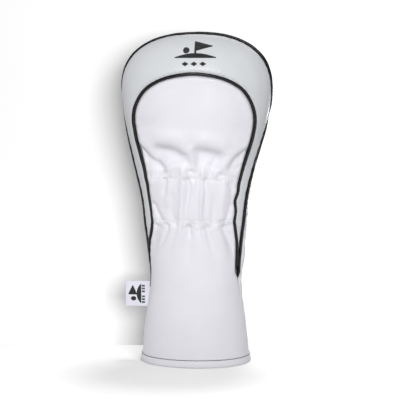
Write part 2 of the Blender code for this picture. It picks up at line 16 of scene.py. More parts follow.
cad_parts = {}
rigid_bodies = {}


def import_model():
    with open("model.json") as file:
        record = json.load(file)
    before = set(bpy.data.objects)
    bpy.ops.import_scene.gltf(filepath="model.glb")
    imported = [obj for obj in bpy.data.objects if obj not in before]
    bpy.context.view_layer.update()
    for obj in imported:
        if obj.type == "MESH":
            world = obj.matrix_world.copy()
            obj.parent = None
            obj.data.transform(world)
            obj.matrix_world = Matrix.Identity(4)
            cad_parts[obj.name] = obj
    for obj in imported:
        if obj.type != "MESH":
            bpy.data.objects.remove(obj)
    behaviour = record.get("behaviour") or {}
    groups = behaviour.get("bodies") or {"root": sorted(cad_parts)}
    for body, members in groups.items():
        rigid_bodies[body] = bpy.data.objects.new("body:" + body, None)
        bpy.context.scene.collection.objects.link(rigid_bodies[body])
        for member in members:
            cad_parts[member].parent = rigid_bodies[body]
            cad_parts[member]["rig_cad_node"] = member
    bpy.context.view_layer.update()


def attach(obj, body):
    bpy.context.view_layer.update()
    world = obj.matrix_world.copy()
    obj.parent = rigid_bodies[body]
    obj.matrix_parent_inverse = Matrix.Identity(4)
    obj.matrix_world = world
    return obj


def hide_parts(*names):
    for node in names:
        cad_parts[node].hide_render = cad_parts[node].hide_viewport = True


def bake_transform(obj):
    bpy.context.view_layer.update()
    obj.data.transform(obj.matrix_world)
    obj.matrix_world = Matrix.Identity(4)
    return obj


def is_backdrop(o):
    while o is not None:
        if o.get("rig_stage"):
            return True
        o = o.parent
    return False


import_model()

MM = 0.001

# ---------------------------------------------------------------- the body surface, as in part.py
HEIGHTS = [0.0, 9.0, 32.0, 57.0, 72.0, 86.0, 102.0, 110.0, 126.0, 142.0, 158.0, 174.0, 190.0, 206.0, 222.0, 238.0, 254.0, 271.5]
HALF_WIDTHS = [54.5, 53.5, 51.6, 48.2, 46.0, 45.0, 46.3, 47.2, 48.9, 50.9, 52.4, 54.9, 58.3, 61.9, 65.7, 69.4, 72.3, 73.6]
DEPTH_HEIGHTS = [0.0, 32.0, 60.0, 86.0, 110.0, 142.0, 174.0, 206.0, 238.0, 271.5]
FRONT_DEPTHS = [37.0, 35.0, 32.8, 31.2, 31.6, 33.4, 37.2, 42.6, 46.9, 48.6]
BACK_DEPTHS = [37.0, 34.6, 32.4, 31.2, 31.8, 34.0, 38.6, 44.4, 48.6, 49.8]
LEAN_HEIGHTS = [0.0, 57.0, 100.0, 142.0, 190.0, 238.0, 271.5]
LEANS = [-1.0, -1.4, -0.6, -0.5, -1.3, -0.9, -0.3]
CROWN_Z = 271.5
CROWN_RISE = 54.0
ARCH_POWER = 2.35
SECTION_POWERS = ([0.0, 90.0, 160.0, 230.0, CROWN_Z], [2.12, 2.14, 2.22, 2.34, 2.35])
ARC_MM = 53.5
LINING_DEPTH = ([0.0, 25.0, 110.0, 170.0, 191.0, 215.0, CROWN_Z, 340.0], [1.9, 1.9, 3.2, 3.6, 5.1, 5.2, 5.2, 5.2])
FRONT_ARCH = [(0.0, 285.6), (11.4, 284.7), (22.9, 282.6), (34.3, 278.6), (45.4, 271.2), (51.6, 262.6), (55.5, 253.0), (57.3, 242.0),
              (56.6, 231.0), (54.4, 220.0), (51.3, 209.0), (48.0, 198.0), (45.3, 186.0), (43.2, 174.0), (41.5, 162.0), (40.3, 150.0)]
FRONT_TIP_LEFT = [(51.5, 139.0), (60.0, 129.0), (71.0, 120.5), (78.5, 111.5), (82.5, 102.0), (84.6, 94.0)]
FRONT_TIP_RIGHT = [(49.2, 139.0), (52.6, 129.0), (55.8, 120.5), (58.4, 111.5), (60.4, 102.0), (62.3, 94.0)]
PERIMETER_LEFT = [(93.0, 0.0), (93.5, 30.0), (94.0, 60.0), (94.6, 80.0), (93.0, 92.0), (90.2, 104.0), (87.2, 116.0), (84.0, 130.0), (81.7, 145.0), (80.3, 160.0),
                  (79.6, 176.0), (80.0, 192.0), (80.6, 207.0), (82.0, 222.0), (84.6, 236.0), (89.0, 247.0), (94.0, 258.0), (91.0, CROWN_Z)]
PERIMETER_RIGHT = [(93.0, 0.0), (91.0, 30.0), (84.0, 58.0), (75.6, 76.0), (70.8, 88.0), (67.4, 100.0), (65.8, 114.0), (65.4, 130.0), (66.4, 145.0), (67.8, 160.0),
                   (69.0, 176.0), (71.4, 192.0), (75.2, 207.0), (80.6, 222.0), (87.6, 236.0), (92.4, 247.0), (90.6, 258.0), (85.6, CROWN_Z)]
PERIMETER_ARCH = [(20.0, 81.6), (45.0, 82.2), (70.0, 84.6), (90.0, 86.2), (110.0, 86.8), (135.0, 87.2), (160.0, 89.0)]
# How far the front seam's plain run is drawn outwards: heights, distances.
LEFT_PULL = ([88.0, 120.0, 129.0, 139.0, 148.0, 158.0, 167.0, 177.0, 186.0, 196.0, 205.0, 215.0, 234.0, 243.0, 253.0, 263.0, 272.0, 281.0],
             [0.0, 0.0, 0.9, 2.3, 2.9, 2.8, 2.7, 2.2, 1.7, 1.2, 0.8, 0.3, 0.4, 1.3, 2.0, 1.5, 0.8, 0.0])
RIGHT_PULL = ([88.0, 100.0, 112.0, 122.0, 132.0, 139.0, 148.0, 158.0, 167.0, 177.0, 186.0, 196.0, 215.0, 234.0, 243.0, 253.0, 263.0, 272.0, 281.0],
              [0.0, 0.0, 0.0, 0.2, 0.2, 0.0, -0.7, -0.9, -0.9, -0.9, -0.1, 0.5, 0.8, 1.2, 1.4, 1.3, 0.9, 0.6, 0.0])
PIPING_END_Z = (70.0, 87.0)
FRONT_PIPING_END_Z = (94.0, 96.0)
LABEL_Z = (52.9, 78.5)
LABEL_END_X = -73.2
LABEL_OUT = 2.0
LABEL_BEHIND = 2.45


def spline(xs, ys, end_slope=None):
    """Natural cubic through the stations; end_slope clamps the upper end."""
    xs, ys = np.asarray(xs, float), np.asarray(ys, float)
    n = len(xs)
    h = np.diff(xs)
    m = np.zeros((n, n))
    r = np.zeros(n)
    m[0, 0] = m[-1, -1] = 1.0
    for i in range(1, n - 1):
        m[i, i - 1], m[i, i], m[i, i + 1] = h[i - 1], 2 * (h[i - 1] + h[i]), h[i]
        r[i] = 6 * ((ys[i + 1] - ys[i]) / h[i] - (ys[i] - ys[i - 1]) / h[i - 1])
    if end_slope is not None:
        m[-1, -2], m[-1, -1] = h[-1], 2 * h[-1]
        r[-1] = 6 * (end_slope - (ys[-1] - ys[-2]) / h[-1])
    k = np.linalg.solve(m, r)

    def value(x):
        x = np.clip(np.asarray(x, float), xs[0], xs[-1])
        i = np.clip(np.searchsorted(xs, x, side="right") - 1, 0, n - 2)
        a, b = xs[i + 1] - x, x - xs[i]
        return k[i] * a**3 / (6 * h[i]) + k[i + 1] * b**3 / (6 * h[i]) + (ys[i] / h[i] - k[i] * h[i] / 6) * a + (ys[i + 1] / h[i] - k[i + 1] * h[i] / 6) * b

    return value


half_width = spline(HEIGHTS, HALF_WIDTHS, 0.0)
front_depth = spline(DEPTH_HEIGHTS, FRONT_DEPTHS, 0.0)
back_depth = spline(DEPTH_HEIGHTS, BACK_DEPTHS, 0.0)
lean = spline(LEAN_HEIGHTS, LEANS, 0.0)
section_power = spline(*SECTION_POWERS, 0.0)


def lining_depth(z):
    return np.interp(z, *LINING_DEPTH)


def ring(t, n):
    s, c = np.sin(t), np.cos(t)
    r = (np.abs(s) ** n + np.abs(c) ** n) ** (-1.0 / n)
    return s * r, c * r


def surface(side, a, b):
    a, b = np.broadcast_arrays(np.radians(np.asarray(a, float)), np.asarray(b, float))
    up = np.maximum(b - CROWN_Z, 0.0) / ARC_MM
    z = np.minimum(b, CROWN_Z)
    t = (np.abs(a) ** ARCH_POWER + up**ARCH_POWER) ** (1 / ARCH_POWER)
    t = np.maximum(t, 1e-9)
    rho, dep = ring(t, section_power(z))
    x = lean(z) + half_width(z) * rho * a / t
    zz = z + CROWN_RISE * rho * up / t
    near, far = (front_depth(z), back_depth(z)) if side > 0 else (back_depth(z), front_depth(z))
    y = -side * np.where(dep > 0, near, far) * dep
    return np.stack([x, y, zz], axis=-1)


def frame_at(side, a, b):
    a, b = np.broadcast_arrays(np.asarray(a, float), np.asarray(b, float))
    pa = surface(side, a + 0.05, b) - surface(side, a - 0.05, b)
    pb = surface(side, a, b + 0.05) - surface(side, a, b - 0.05)
    n = np.cross(pa, pb) * side
    return pa / 0.1, pb / 0.1, n / np.linalg.norm(n, axis=-1, keepdims=True)


def skin(side, a, b, off):
    _, _, n = frame_at(side, a, b)
    return surface(side, a, b) + n * np.asarray(off, float)[..., None]


def front_to_chart(x, z):
    low = min(z, CROWN_Z)
    u = (x - float(lean(low))) / float(half_width(low))
    w = max(z - CROWN_Z, 0.0) / CROWN_RISE
    rho = (abs(u) ** ARCH_POWER + w**ARCH_POWER) ** (1 / ARCH_POWER)
    n = float(section_power(low))
    t = math.atan2(rho, (1 - rho**n) ** (1 / n))
    if rho < 1e-9:
        return 0.0, low
    return math.degrees(t * u / rho), low + ARC_MM * t * w / rho


def to_back(a, b):
    a, b = np.asarray(a, float), np.asarray(b, float)
    up = np.degrees(np.maximum(b - CROWN_Z, 0.0) / ARC_MM)
    t = (np.abs(a) ** ARCH_POWER + up**ARCH_POWER) ** (1 / ARCH_POWER)
    k = (180.0 - t) / np.maximum(t, 1e-9)
    return a * k, np.where(b > CROWN_Z, CROWN_Z + np.radians(up * k) * ARC_MM, b)


def even(points, count):
    p = np.asarray(points, float)
    d = np.concatenate([[0], np.cumsum(np.hypot(np.diff(p[:, 0]) * 0.8, np.diff(p[:, 1])))])
    s = np.linspace(0, d[-1], count)
    return np.stack([np.interp(s, d, p[:, 0]), np.interp(s, d, p[:, 1])], axis=1)


def smooth(points, count=600):
    p = np.asarray(points, float)
    d = np.concatenate([[0], np.cumsum(np.hypot(np.diff(p[:, 0]) * 0.8, np.diff(p[:, 1])))])
    fa, fb = spline(d, p[:, 0]), spline(d, p[:, 1])
    s = np.linspace(0, d[-1], count)
    return even(np.stack([fa(s), fb(s)], axis=1), count)


def arch_point(direction, t):
    c, s = math.cos(math.radians(direction)), math.sin(math.radians(direction))
    r = (abs(c) ** ARCH_POWER + abs(s) ** ARCH_POWER) ** (-1 / ARCH_POWER)
    return t * c * r, CROWN_Z + math.radians(t * s * r) * ARC_MM


right_half = [front_to_chart(float(lean(min(z, CROWN_Z))) + x, z) for x, z in FRONT_ARCH]
left_half = [(-a, b) for a, b in right_half]
front_seam = smooth([(-a, b) for a, b in reversed(FRONT_TIP_LEFT)] + left_half[:0:-1] + right_half + FRONT_TIP_RIGHT, 1200)
perimeter = smooth([(-a, b) for a, b in PERIMETER_LEFT] + [arch_point(d, t) for d, t in reversed(PERIMETER_ARCH)] + [(a, b) for a, b in reversed(PERIMETER_RIGHT)], 1800)


def blur(line, width):
    """Rounds what is left of the stations' corners along a chart line; its ends stay."""
    k = np.hanning(2 * width + 3)[1:-1]
    k /= k.sum()
    out = line.copy()
    for c in (0, 1):
        pad = np.concatenate([2 * line[0, c] - line[width:0:-1, c], line[:, c], 2 * line[-1, c] - line[-2 : -width - 2 : -1, c]])
        out[:, c] = np.convolve(pad, k, "valid")
    return out


def tug(line):
    """Draws the front seam sideways: its plain run, and in and out where the gathers pull on it."""
    a, b = line[:, 0].copy(), line[:, 1]
    right = np.arange(len(line)) > len(line) // 2
    z = surface(1, a, b)[:, 2]
    pull = np.where(right, np.interp(z, RIGHT_PULL[0], RIGHT_PULL[1]), -np.interp(z, LEFT_PULL[0], LEFT_PULL[1]))
    swell = lambda z0, w: np.exp(-(((z - z0) / w) ** 2))
    pull += np.where(right, 0.8 * swell(173.5, 5.0) - 0.9 * swell(163.5, 4.5) + 0.5 * swell(152.0, 5.0) - 0.4 * swell(143.0, 3.5), 0)
    pull += np.where(right, 0, -0.3 * swell(186.0, 4.0) + 0.3 * swell(179.0, 4.0) + 0.3 * swell(143.0, 4.0))
    step = (surface(1, a + 0.5, b) - surface(1, a - 0.5, b))[:, 0]
    return np.stack([a + pull / np.maximum(step, 0.3), b], axis=1)


front_seam = tug(blur(front_seam, 12))
perimeter = blur(perimeter, 14)


def inset(line, distance):
    """The chart line moved sideways over the surface by distance mm, positive towards its right-hand side as it runs."""
    a, b = line[:, 0], line[:, 1]
    pa, pb, n = frame_at(1, a, b)
    p = surface(1, a, b)
    run = np.gradient(p, axis=0)
    run /= np.linalg.norm(run, axis=1, keepdims=True)
    move = np.cross(run, n) * np.asarray(distance, float).reshape(-1, 1)
    g = np.stack([np.stack([(pa * pa).sum(1), (pa * pb).sum(1)], 1), np.stack([(pa * pb).sum(1), (pb * pb).sum(1)], 1)], 1)
    rhs = np.stack([(pa * move).sum(1), (pb * move).sum(1)], 1)
    return line + np.linalg.solve(g, rhs[..., None])[..., 0]


def upper(line, z):
    i = np.nonzero(line[:, 1] >= z)[0]
    return line[i[0] : i[-1] + 1]


def split_sides(line):
    up = np.degrees(np.maximum(line[:, 1] - CROWN_Z, 0) / ARC_MM)
    ang = np.degrees(np.arctan2(up, line[:, 0]))
    i = int(np.argmin(np.abs(ang - 138)))
    j = int(np.argmin(np.abs(ang - 42)))
    return line[: i + 1], line[i : j + 1], line[j:][::-1]


def coons(left, top, right, nu, nv):
    l, r, t = even(left, nv + 1), even(right, nv + 1), even(top, nu + 1)
    f = even([l[0], r[0]], nu + 1)
    u = np.linspace(0, 1, nu + 1)[None, :, None]
    v = np.linspace(0, 1, nv + 1)[:, None, None]
    g = (1 - u) * l[:, None] + u * r[:, None] + (1 - v) * f[None] + v * t[None]
    return g - ((1 - u) * (1 - v) * l[0] + u * (1 - v) * r[0] + (1 - u) * v * l[-1] + u * v * r[-1])


def strip(outer_line, inner_line, along, across):
    def matched(line):
        i = int(np.argmax(line[:, 1] >= CROWN_Z))
        j = len(line) - 1 - int(np.argmax(line[::-1, 1] >= CROWN_Z))
        legs = along * 3 // 10
        return np.concatenate([even(line[: i + 1], legs + 1)[:-1], even(line[i : j + 1], along - 2 * legs + 1)[:-1], even(line[j:], legs + 1)])

    o, i = matched(outer_line), matched(inner_line)
    v = np.linspace(0, 1, across + 1)[:, None, None]
    return (1 - v) * i[None] + v * o[None]


def two_ends(line, ends):
    mid = len(line) // 2
    i = int(np.nonzero(line[:mid, 1] >= ends[0])[0][0])
    j = mid + int(np.nonzero(line[mid:, 1] >= ends[1])[0][-1])
    return line[i : j + 1]


# ---------------------------------------------------------------- smooth uneven noise, the same each run


def waver(x, z, seed, scale):
    """Soft uneven pattern of size about scale mm, from -1 to 1."""
    rng = np.random.default_rng(seed)
    out = np.zeros(np.broadcast(x, z).shape)
    for _ in range(9):
        q, f, p = rng.uniform(0, 2 * math.pi), rng.uniform(0.7, 1.5) * 2 * math.pi / scale, rng.uniform(0, 2 * math.pi)
        out = out + np.sin((np.cos(q) * x + np.sin(q) * z) * f + p)
    return out / 3.6


# ---------------------------------------------------------------- folds, in the front view: distance across x and height z


def along_line(points, x, z):
    """Signed distance to a polyline, positive to the right of it as it runs, and the share of the way along it."""
    p = np.asarray(points, float)
    seg = np.diff(p, axis=0)
    length = np.hypot(seg[:, 0], seg[:, 1])
    start = np.concatenate([[0], np.cumsum(length)])
    best = np.full(x.shape, 1e9)
    side = np.zeros(x.shape)
    share = np.zeros(x.shape)
    for k in range(len(seg)):
        dx, dz = x - p[k, 0], z - p[k, 1]
        raw = (dx * seg[k, 0] + dz * seg[k, 1]) / length[k] ** 2
        t = np.clip(raw, 0, 1)
        ex, ez = dx - t * seg[k, 0], dz - t * seg[k, 1]
        d = np.hypot(ex, ez)
        s = np.sign(seg[k, 1] * dx - seg[k, 0] * dz)
        near = d < best
        best, side, share = np.where(near, d, best), np.where(near, s, side), np.where(near, (start[k] + t * length[k]) / start[-1], share)
    return best * side, share


def rounded(points):
    p = np.asarray(points, float)
    if len(p) < 3:
        return p
    d = np.concatenate([[0], np.cumsum(np.hypot(*np.diff(p, axis=0).T))])
    s = np.linspace(0, d[-1], 8 * len(p))
    return np.stack([spline(d, p[:, 0])(s), spline(d, p[:, 1])(s)], axis=1)


def fold(points, height, left, right, x, z, fade=(0.18, 0.18)):
    """A ridge (height above 0) or a valley along a line, with its own width on each side, fading out at its ends."""
    d, t = along_line(rounded(points), x, z)
    w = np.where(d > 0, right, left)
    e = np.ones(x.shape)
    if fade[0]:
        e = e * np.clip(t / fade[0], 0, 1) ** 1.0
    if fade[1]:
        e = e * np.clip((1 - t) / fade[1], 0, 1)
    e = e * e * (3 - 2 * e)
    return height * np.exp(-((d / w) ** 2)) * e


def tuck(points, depth, width, reach, x, z, low=1, centre=1.8, fade=(0.2, 0.2)):
    """The cloth rolls over along a line and drops by depth on one side of it (low: 1 right of the line, -1 left), then comes back over reach."""
    d, t = along_line(rounded(points), x, z)
    s = d * low - centre
    e = np.ones(x.shape)
    if fade[0]:
        e = e * np.clip(t / fade[0], 0, 1)
    if fade[1]:
        e = e * np.clip((1 - t) / fade[1], 0, 1)
    e = e * e * (3 - 2 * e)
    drop = 0.5 * (1 + np.tanh(s / width)) * np.exp(-((np.maximum(s, 0) / reach) ** 1.6))
    lip = 0.16 * np.exp(-(((s + 2.2 * width) / (2.2 * width)) ** 2))
    return depth * (lip - drop) * e


def dome(cx, cz, rx, rz, height, x, z, turn=0.0):
    c, s = math.cos(math.radians(turn)), math.sin(math.radians(turn))
    u, v = (x - cx) * c + (z - cz) * s, -(x - cx) * s + (z - cz) * c
    return height * np.exp(-((u / rx) ** 2) - (v / rz) ** 2)


UPPER_ROW = [(-52.0, 187.9), (-46.9, 187.9), (-28.4, 187.9), (-8.8, 187.4), (5.6, 186.8), (22.8, 185.6), (41.8, 184.2), (50.0, 183.6)]
LOWER_ROW = [(-52.0, 141.6), (-41.6, 141.7), (-19.1, 142.5), (5.2, 142.7), (36.8, 142.3), (48.0, 142.2)]


def row_z(row, x):
    p = np.asarray(row)
    return np.interp(x, p[:, 0], p[:, 1])


def front_folds(x, z):
    """How far the front panel's outer face stands off the body surface, mm."""
    d = np.zeros(x.shape)
    # below the stuffed head the cloth rolls under and drops to the gathered part, in two leaves and two side tucks
    d += tuck([(-46.0, 219.0), (-38.0, 219.6), (-30.8, 219.2), (-22.0, 217.8), (-15.0, 215.4), (-9.5, 210.6), (-6.4, 203.6), (-5.2, 196.0)], 6.6, 3.4, 25.0, x, z, 1, 2.9, (0.24, 0.30))
    d += tuck([(-4.0, 216.6), (4.0, 217.0), (11.0, 216.6), (18.5, 215.2), (26.5, 212.4), (34.5, 207.6)], 5.6, 3.3, 25.0, x, z, 1, 2.7, (0.24, 0.3))
    d += tuck([(-57.0, 221.6), (-48.3, 213.8), (-42.1, 207.8), (-35.1, 201.6), (-30.2, 196.8), (-25.0, 190.0)], 4.6, 2.7, 11.0, x, z, 1, 1.2, (0.06, 0.1))
    d += tuck([(53.0, 218.4), (43.8, 213.6), (37.6, 208.2), (32.6, 201.4), (29.0, 192.0)], 3.0, 2.2, 10.0, x, z, -1, 2.7, (0.10, 0.14))
    d += fold([(-33.0, 211.5), (-24.0, 207.0), (-17.0, 201.0), (-13.0, 194.0)], 0.6, 6.0, 4.6, x, z, (0.3, 0.2))
    d += fold([(-11.0, 211.5), (-7.6, 205.0), (-5.6, 197.0), (-4.6, 190.6)], -1.3, 4.0, 3.4, x, z, (0.2, 0.1))
    d += fold([(27.0, 207.5), (21.0, 201.5), (16.4, 194.0)], -1.2, 3.0, 3.6, x, z, (0.25, 0.2))
    d += tuck([(-9.6, 190.8), (-6.0, 193.6), (-2.6, 194.6), (1.0, 193.6), (4.6, 190.8)], 1.1, 1.3, 6.0, x, z, 1, 0.8, (0.25, 0.25))
    d += tuck([(20.4, 190.0), (24.0, 192.0), (27.0, 191.8), (30.6, 189.4)], 0.9, 1.3, 6.0, x, z, 1, 0.8, (0.3, 0.3))
    # gathers between the rows, running on above and below them: gentle on the left of each ridge, steep on its right
    d += fold([(-11.6, 201.0), (-11.4, 194.0), (-11.9, 186.0), (-12.0, 175.1), (-12.6, 160.4), (-13.4, 148.0), (-13.6, 141.5), (-15.4, 131.0), (-19.0, 118.0), (-21.0, 104.0)], 2.6, 5.4, 2.7, x, z, (0.12, 0.5))
    d += fold([(7.6, 200.5), (7.3, 192.6), (7.1, 181.0), (6.6, 170.0), (6.0, 158.0), (6.7, 145.0), (8.6, 132.0), (13.0, 116.0), (20.0, 100.0)], 2.8, 4.8, 1.9, x, z, (0.1, 0.5))
    d += fold([(19.6, 197.0), (19.4, 184.5)], 0.8, 2.2, 2.2, x, z, (0.4, 0.4))
    d += fold([(28.8, 189.0), (28.2, 180.0), (26.6, 168.0), (24.8, 156.0), (25.2, 142.0)], 1.9, 5.0, 2.4, x, z, (0.1, 0.12))
    d += fold([(-6.6, 188.0), (-5.2, 178.0), (-6.4, 168.0), (-8.0, 157.0), (-9.0, 146.5), (-9.2, 137.5)], -2.0, 1.6, 3.8, x, z, (0.08, 0.16))
    d += fold([(11.4, 188.0), (11.4, 172.0), (10.0, 154.0), (10.6, 142.5), (13.4, 132.0), (19.0, 116.0)], -2.3, 1.4, 3.8, x, z, (0.06, 0.35))
    d += fold([(0.6, 186.5), (-1.4, 172.0), (-2.6, 158.0), (-3.0, 146.0), (-3.0, 138.0)], 0.8, 2.8, 2.6, x, z, (0.15, 0.25))
    d += fold([(18.4, 174.0), (18.6, 158.0), (17.2, 145.0), (17.0, 137.5)], -1.1, 2.8, 2.4, x, z, (0.3, 0.2))
    d += fold([(-21.0, 176.0), (-22.0, 162.0), (-22.0, 150.0), (-20.4, 143.8), (-19.6, 137.0)], -1.5, 3.2, 2.6, x, z, (0.3, 0.18))
    d += fold([(-28.6, 187.0), (-28.2, 179.0), (-31.0, 166.0)], -1.7, 1.9, 3.0, x, z, (0.08, 0.5))
    d += fold([(-25.0, 183.0), (-25.6, 170.0), (-26.4, 156.0)], 0.8, 3.0, 3.0, x, z, (0.2, 0.3))
    d += fold([(-44.5, 165.5), (-39.8, 158.2), (-36.6, 151.0), (-33.6, 144.0), (-32.0, 138.0)], -1.9, 2.6, 2.0, x, z, (0.25, 0.2))
    d += fold([(34.6, 184.0), (35.8, 172.0), (34.4, 158.0), (30.6, 145.0), (29.6, 137.5)], -1.1, 2.2, 2.6, x, z, (0.12, 0.2))
    d += fold([(-26.8, 142.0), (-27.4, 135.0), (-30.4, 126.0), (-38.0, 112.0)], -1.7, 1.8, 3.6, x, z, (0.06, 0.5))
    d += fold([(-38.0, 141.0), (-41.0, 131.0), (-43.0, 122.0)], -1.2, 1.6, 2.8, x, z, (0.1, 0.5))
    d += fold([(-7.0, 141.5), (-4.6, 134.0), (-2.6, 122.0)], -1.5, 1.6, 3.2, x, z, (0.08, 0.55))
    d += fold([(25.5, 142.5), (31.5, 132.0), (37.0, 120.0), (42.5, 102.0)], -1.7, 3.4, 3.2, x, z, (0.2, 0.35))
    d += fold([(35.0, 142.0), (38.5, 133.0), (41.0, 124.0)], -0.9, 1.8, 2.4, x, z, (0.1, 0.5))
    # and broad soft ones down the skirt
    d += fold([(-7.0, 142.0), (-6.2, 130.0), (-6.2, 114.0), (-8.5, 94.0)], -1.9, 4.6, 5.4, x, z, (0.1, 0.55))
    d += fold([(12.0, 142.0), (15.4, 127.0), (18.8, 110.0), (23.0, 90.0)], -1.8, 4.6, 5.8, x, z, (0.1, 0.55))
    d += fold([(27.0, 142.0), (32.0, 127.0), (36.0, 110.0), (38.0, 92.0)], -2.2, 5.0, 4.2, x, z, (0.1, 0.55))
    d += fold([(-35.0, 142.0), (-39.0, 128.0), (-42.0, 113.0), (-43.0, 98.0)], -1.9, 4.2, 5.0, x, z, (0.1, 0.55))
    # soft hollows in the head and where the skirt leaves the waist
    d += dome(-46.0, 237.0, 12.0, 8.0, -1.3, x, z, 12) + dome(43.0, 233.0, 12.0, 7.5, -1.0, x, z, -14)
    d += dome(-20.0, 226.5, 16.0, 6.5, 0.9, x, z, -4) + dome(14.0, 224.5, 14.0, 6.5, 0.7, x, z, -6)
    d += 0.07 * waver(x, z, 5, 38.0) * np.clip((z - 20) / 60, 0, 1)
    # the rows themselves are drawn in a little by the elastic, and the cloth puckers between the stitches
    for row, seed, lift in ((UPPER_ROW, 11, 1.0), (LOWER_ROW, 12, 0.9)):
        s = z - row_z(row, x)
        d += -0.62 * lift * np.exp(-((s / 2.6) ** 2)) - 0.35 * np.exp(-((s / 9.0) ** 2))
        phase = x * (2 * math.pi / 4.4) + 1.8 * waver(x, 0 * x, seed, 21.0)
        d += 0.30 * lift * np.sin(phase) * (0.6 + 0.4 * waver(x, 0 * x, seed + 5, 13.0)) * np.exp(-((np.abs(s) - 2.0).clip(0) / 2.6) ** 2)
    return d


def edge_distance(points, edge):
    """Distance of each grid point from the nearest point of an edge line."""
    kd = KDTree(len(edge))
    for i, p in enumerate(edge):
        kd.insert(Vector(p), i)
    kd.balance()
    flat = points.reshape(-1, 3)
    return np.array([kd.find(Vector(p))[2] for p in flat]).reshape(points.shape[:2])


def seam_roll(d, depth=1.0, width=1.5, plump=0.3):
    """A sewn edge: the cloth rolls down into the seam, and stands up a little beside it."""
    return -depth * np.exp(-((d / width) ** 2)) + plump * np.exp(-(((d - 4.5) / 3.0) ** 2))


# ---------------------------------------------------------------- meshes from grids


def mesh_object(name, verts_mm, faces, material=None, angle=60.0):
    mesh = bpy.data.meshes.new(name)
    v = np.asarray(verts_mm, float) * MM
    f = np.asarray(faces, np.int32)
    mesh.vertices.add(len(v))
    mesh.vertices.foreach_set("co", v.astype(np.float32).ravel())
    k = f.shape[1]
    mesh.loops.add(f.size)
    mesh.loops.foreach_set("vertex_index", f.ravel())
    mesh.polygons.add(len(f))
    mesh.polygons.foreach_set("loop_start", np.arange(0, f.size, k, dtype=np.int32))
    mesh.update(calc_edges=True)
    mesh.validate()
    obj = bpy.data.objects.new(name, mesh)
    bpy.context.scene.collection.objects.link(obj)
    if material is not None:
        mesh.materials.append(material)
    mesh.shade_smooth()
    if angle < 180:
        mesh.set_sharp_from_angle(angle=math.radians(angle))
    return obj


def grid_faces(nv, nu, first=0, flip=False, wrap=False):
    j, i = np.meshgrid(np.arange(nv - 1), np.arange(nu if wrap else nu - 1), indexing="ij")
    k = (i + 1) % nu
    q = np.stack([j * nu + i, j * nu + k, (j + 1) * nu + k, (j + 1) * nu + i], axis=-1).reshape(-1, 4) + first
    return q[:, ::-1] if flip else q


def grid_normals(points, sign):
    n = np.cross(np.gradient(points, axis=1), np.gradient(points, axis=0)) * sign
    return n / np.maximum(np.linalg.norm(n, axis=-1, keepdims=True), 1e-12)


def thick_faces(nv, nu, flip):
    """Faces of a closed slab: outer grid, then inner grid, then the rim."""
    a = nv * nu
    outer, inner = grid_faces(nv, nu, 0, flip), grid_faces(nv, nu, a, not flip)
    border = np.concatenate([np.arange(nu), np.arange(1, nv) * nu + nu - 1, (nv - 1) * nu + np.arange(nu - 2, -1, -1), np.arange(nv - 2, 0, -1) * nu])
    b, c = border, np.roll(border, -1)
    rim = np.stack([c, b, b + a, c + a], axis=1)
    return np.concatenate([outer, inner, rim[:, ::-1] if flip else rim])


def slab(name, points, side, thickness, material, angle=60.0):
    """A closed sheet of cloth: outer face through the grid, thickness inwards."""
    n = grid_normals(points, side)
    nv, nu = points.shape[:2]
    verts = np.concatenate([points.reshape(-1, 3), (points - n * thickness).reshape(-1, 3)])
    return mesh_object(name, verts, thick_faces(nv, nu, side < 0), material, angle)


def sweep(points, radius, sides=8, closed=False, normals=None, flat=1.0):
    """Verts and faces of a tube along points; radius is one number or one for each point."""
    p = np.asarray(points, float)
    n = len(p)
    t = np.roll(p, -1, 0) - np.roll(p, 1, 0) if closed else np.gradient(p, axis=0)
    t /= np.maximum(np.linalg.norm(t, axis=1, keepdims=True), 1e-12)
    ref = np.asarray(normals, float) if normals is not None else np.tile([0.0, 1.0, 0.02], (n, 1))
    e1 = ref - (ref * t).sum(1, keepdims=True) * t
    e1 /= np.maximum(np.linalg.norm(e1, axis=1, keepdims=True), 1e-12)
    e2 = np.cross(t, e1)
    r = np.broadcast_to(np.asarray(radius, float), (n,))[:, None, None]
    q = np.linspace(0, 2 * math.pi, sides, endpoint=False)
    v = p[:, None] + r * (np.cos(q)[None, :, None] * e1[:, None] * flat + np.sin(q)[None, :, None] * e2[:, None])
    rows = n if closed else n - 1
    f = []
    for j in range(rows):
        k = (j + 1) % n
        for i in range(sides):
            m = (i + 1) % sides
            f.append((j * sides + i, j * sides + m, k * sides + m, k * sides + i))
    return v.reshape(-1, 3), np.array(f, np.int32), n, sides


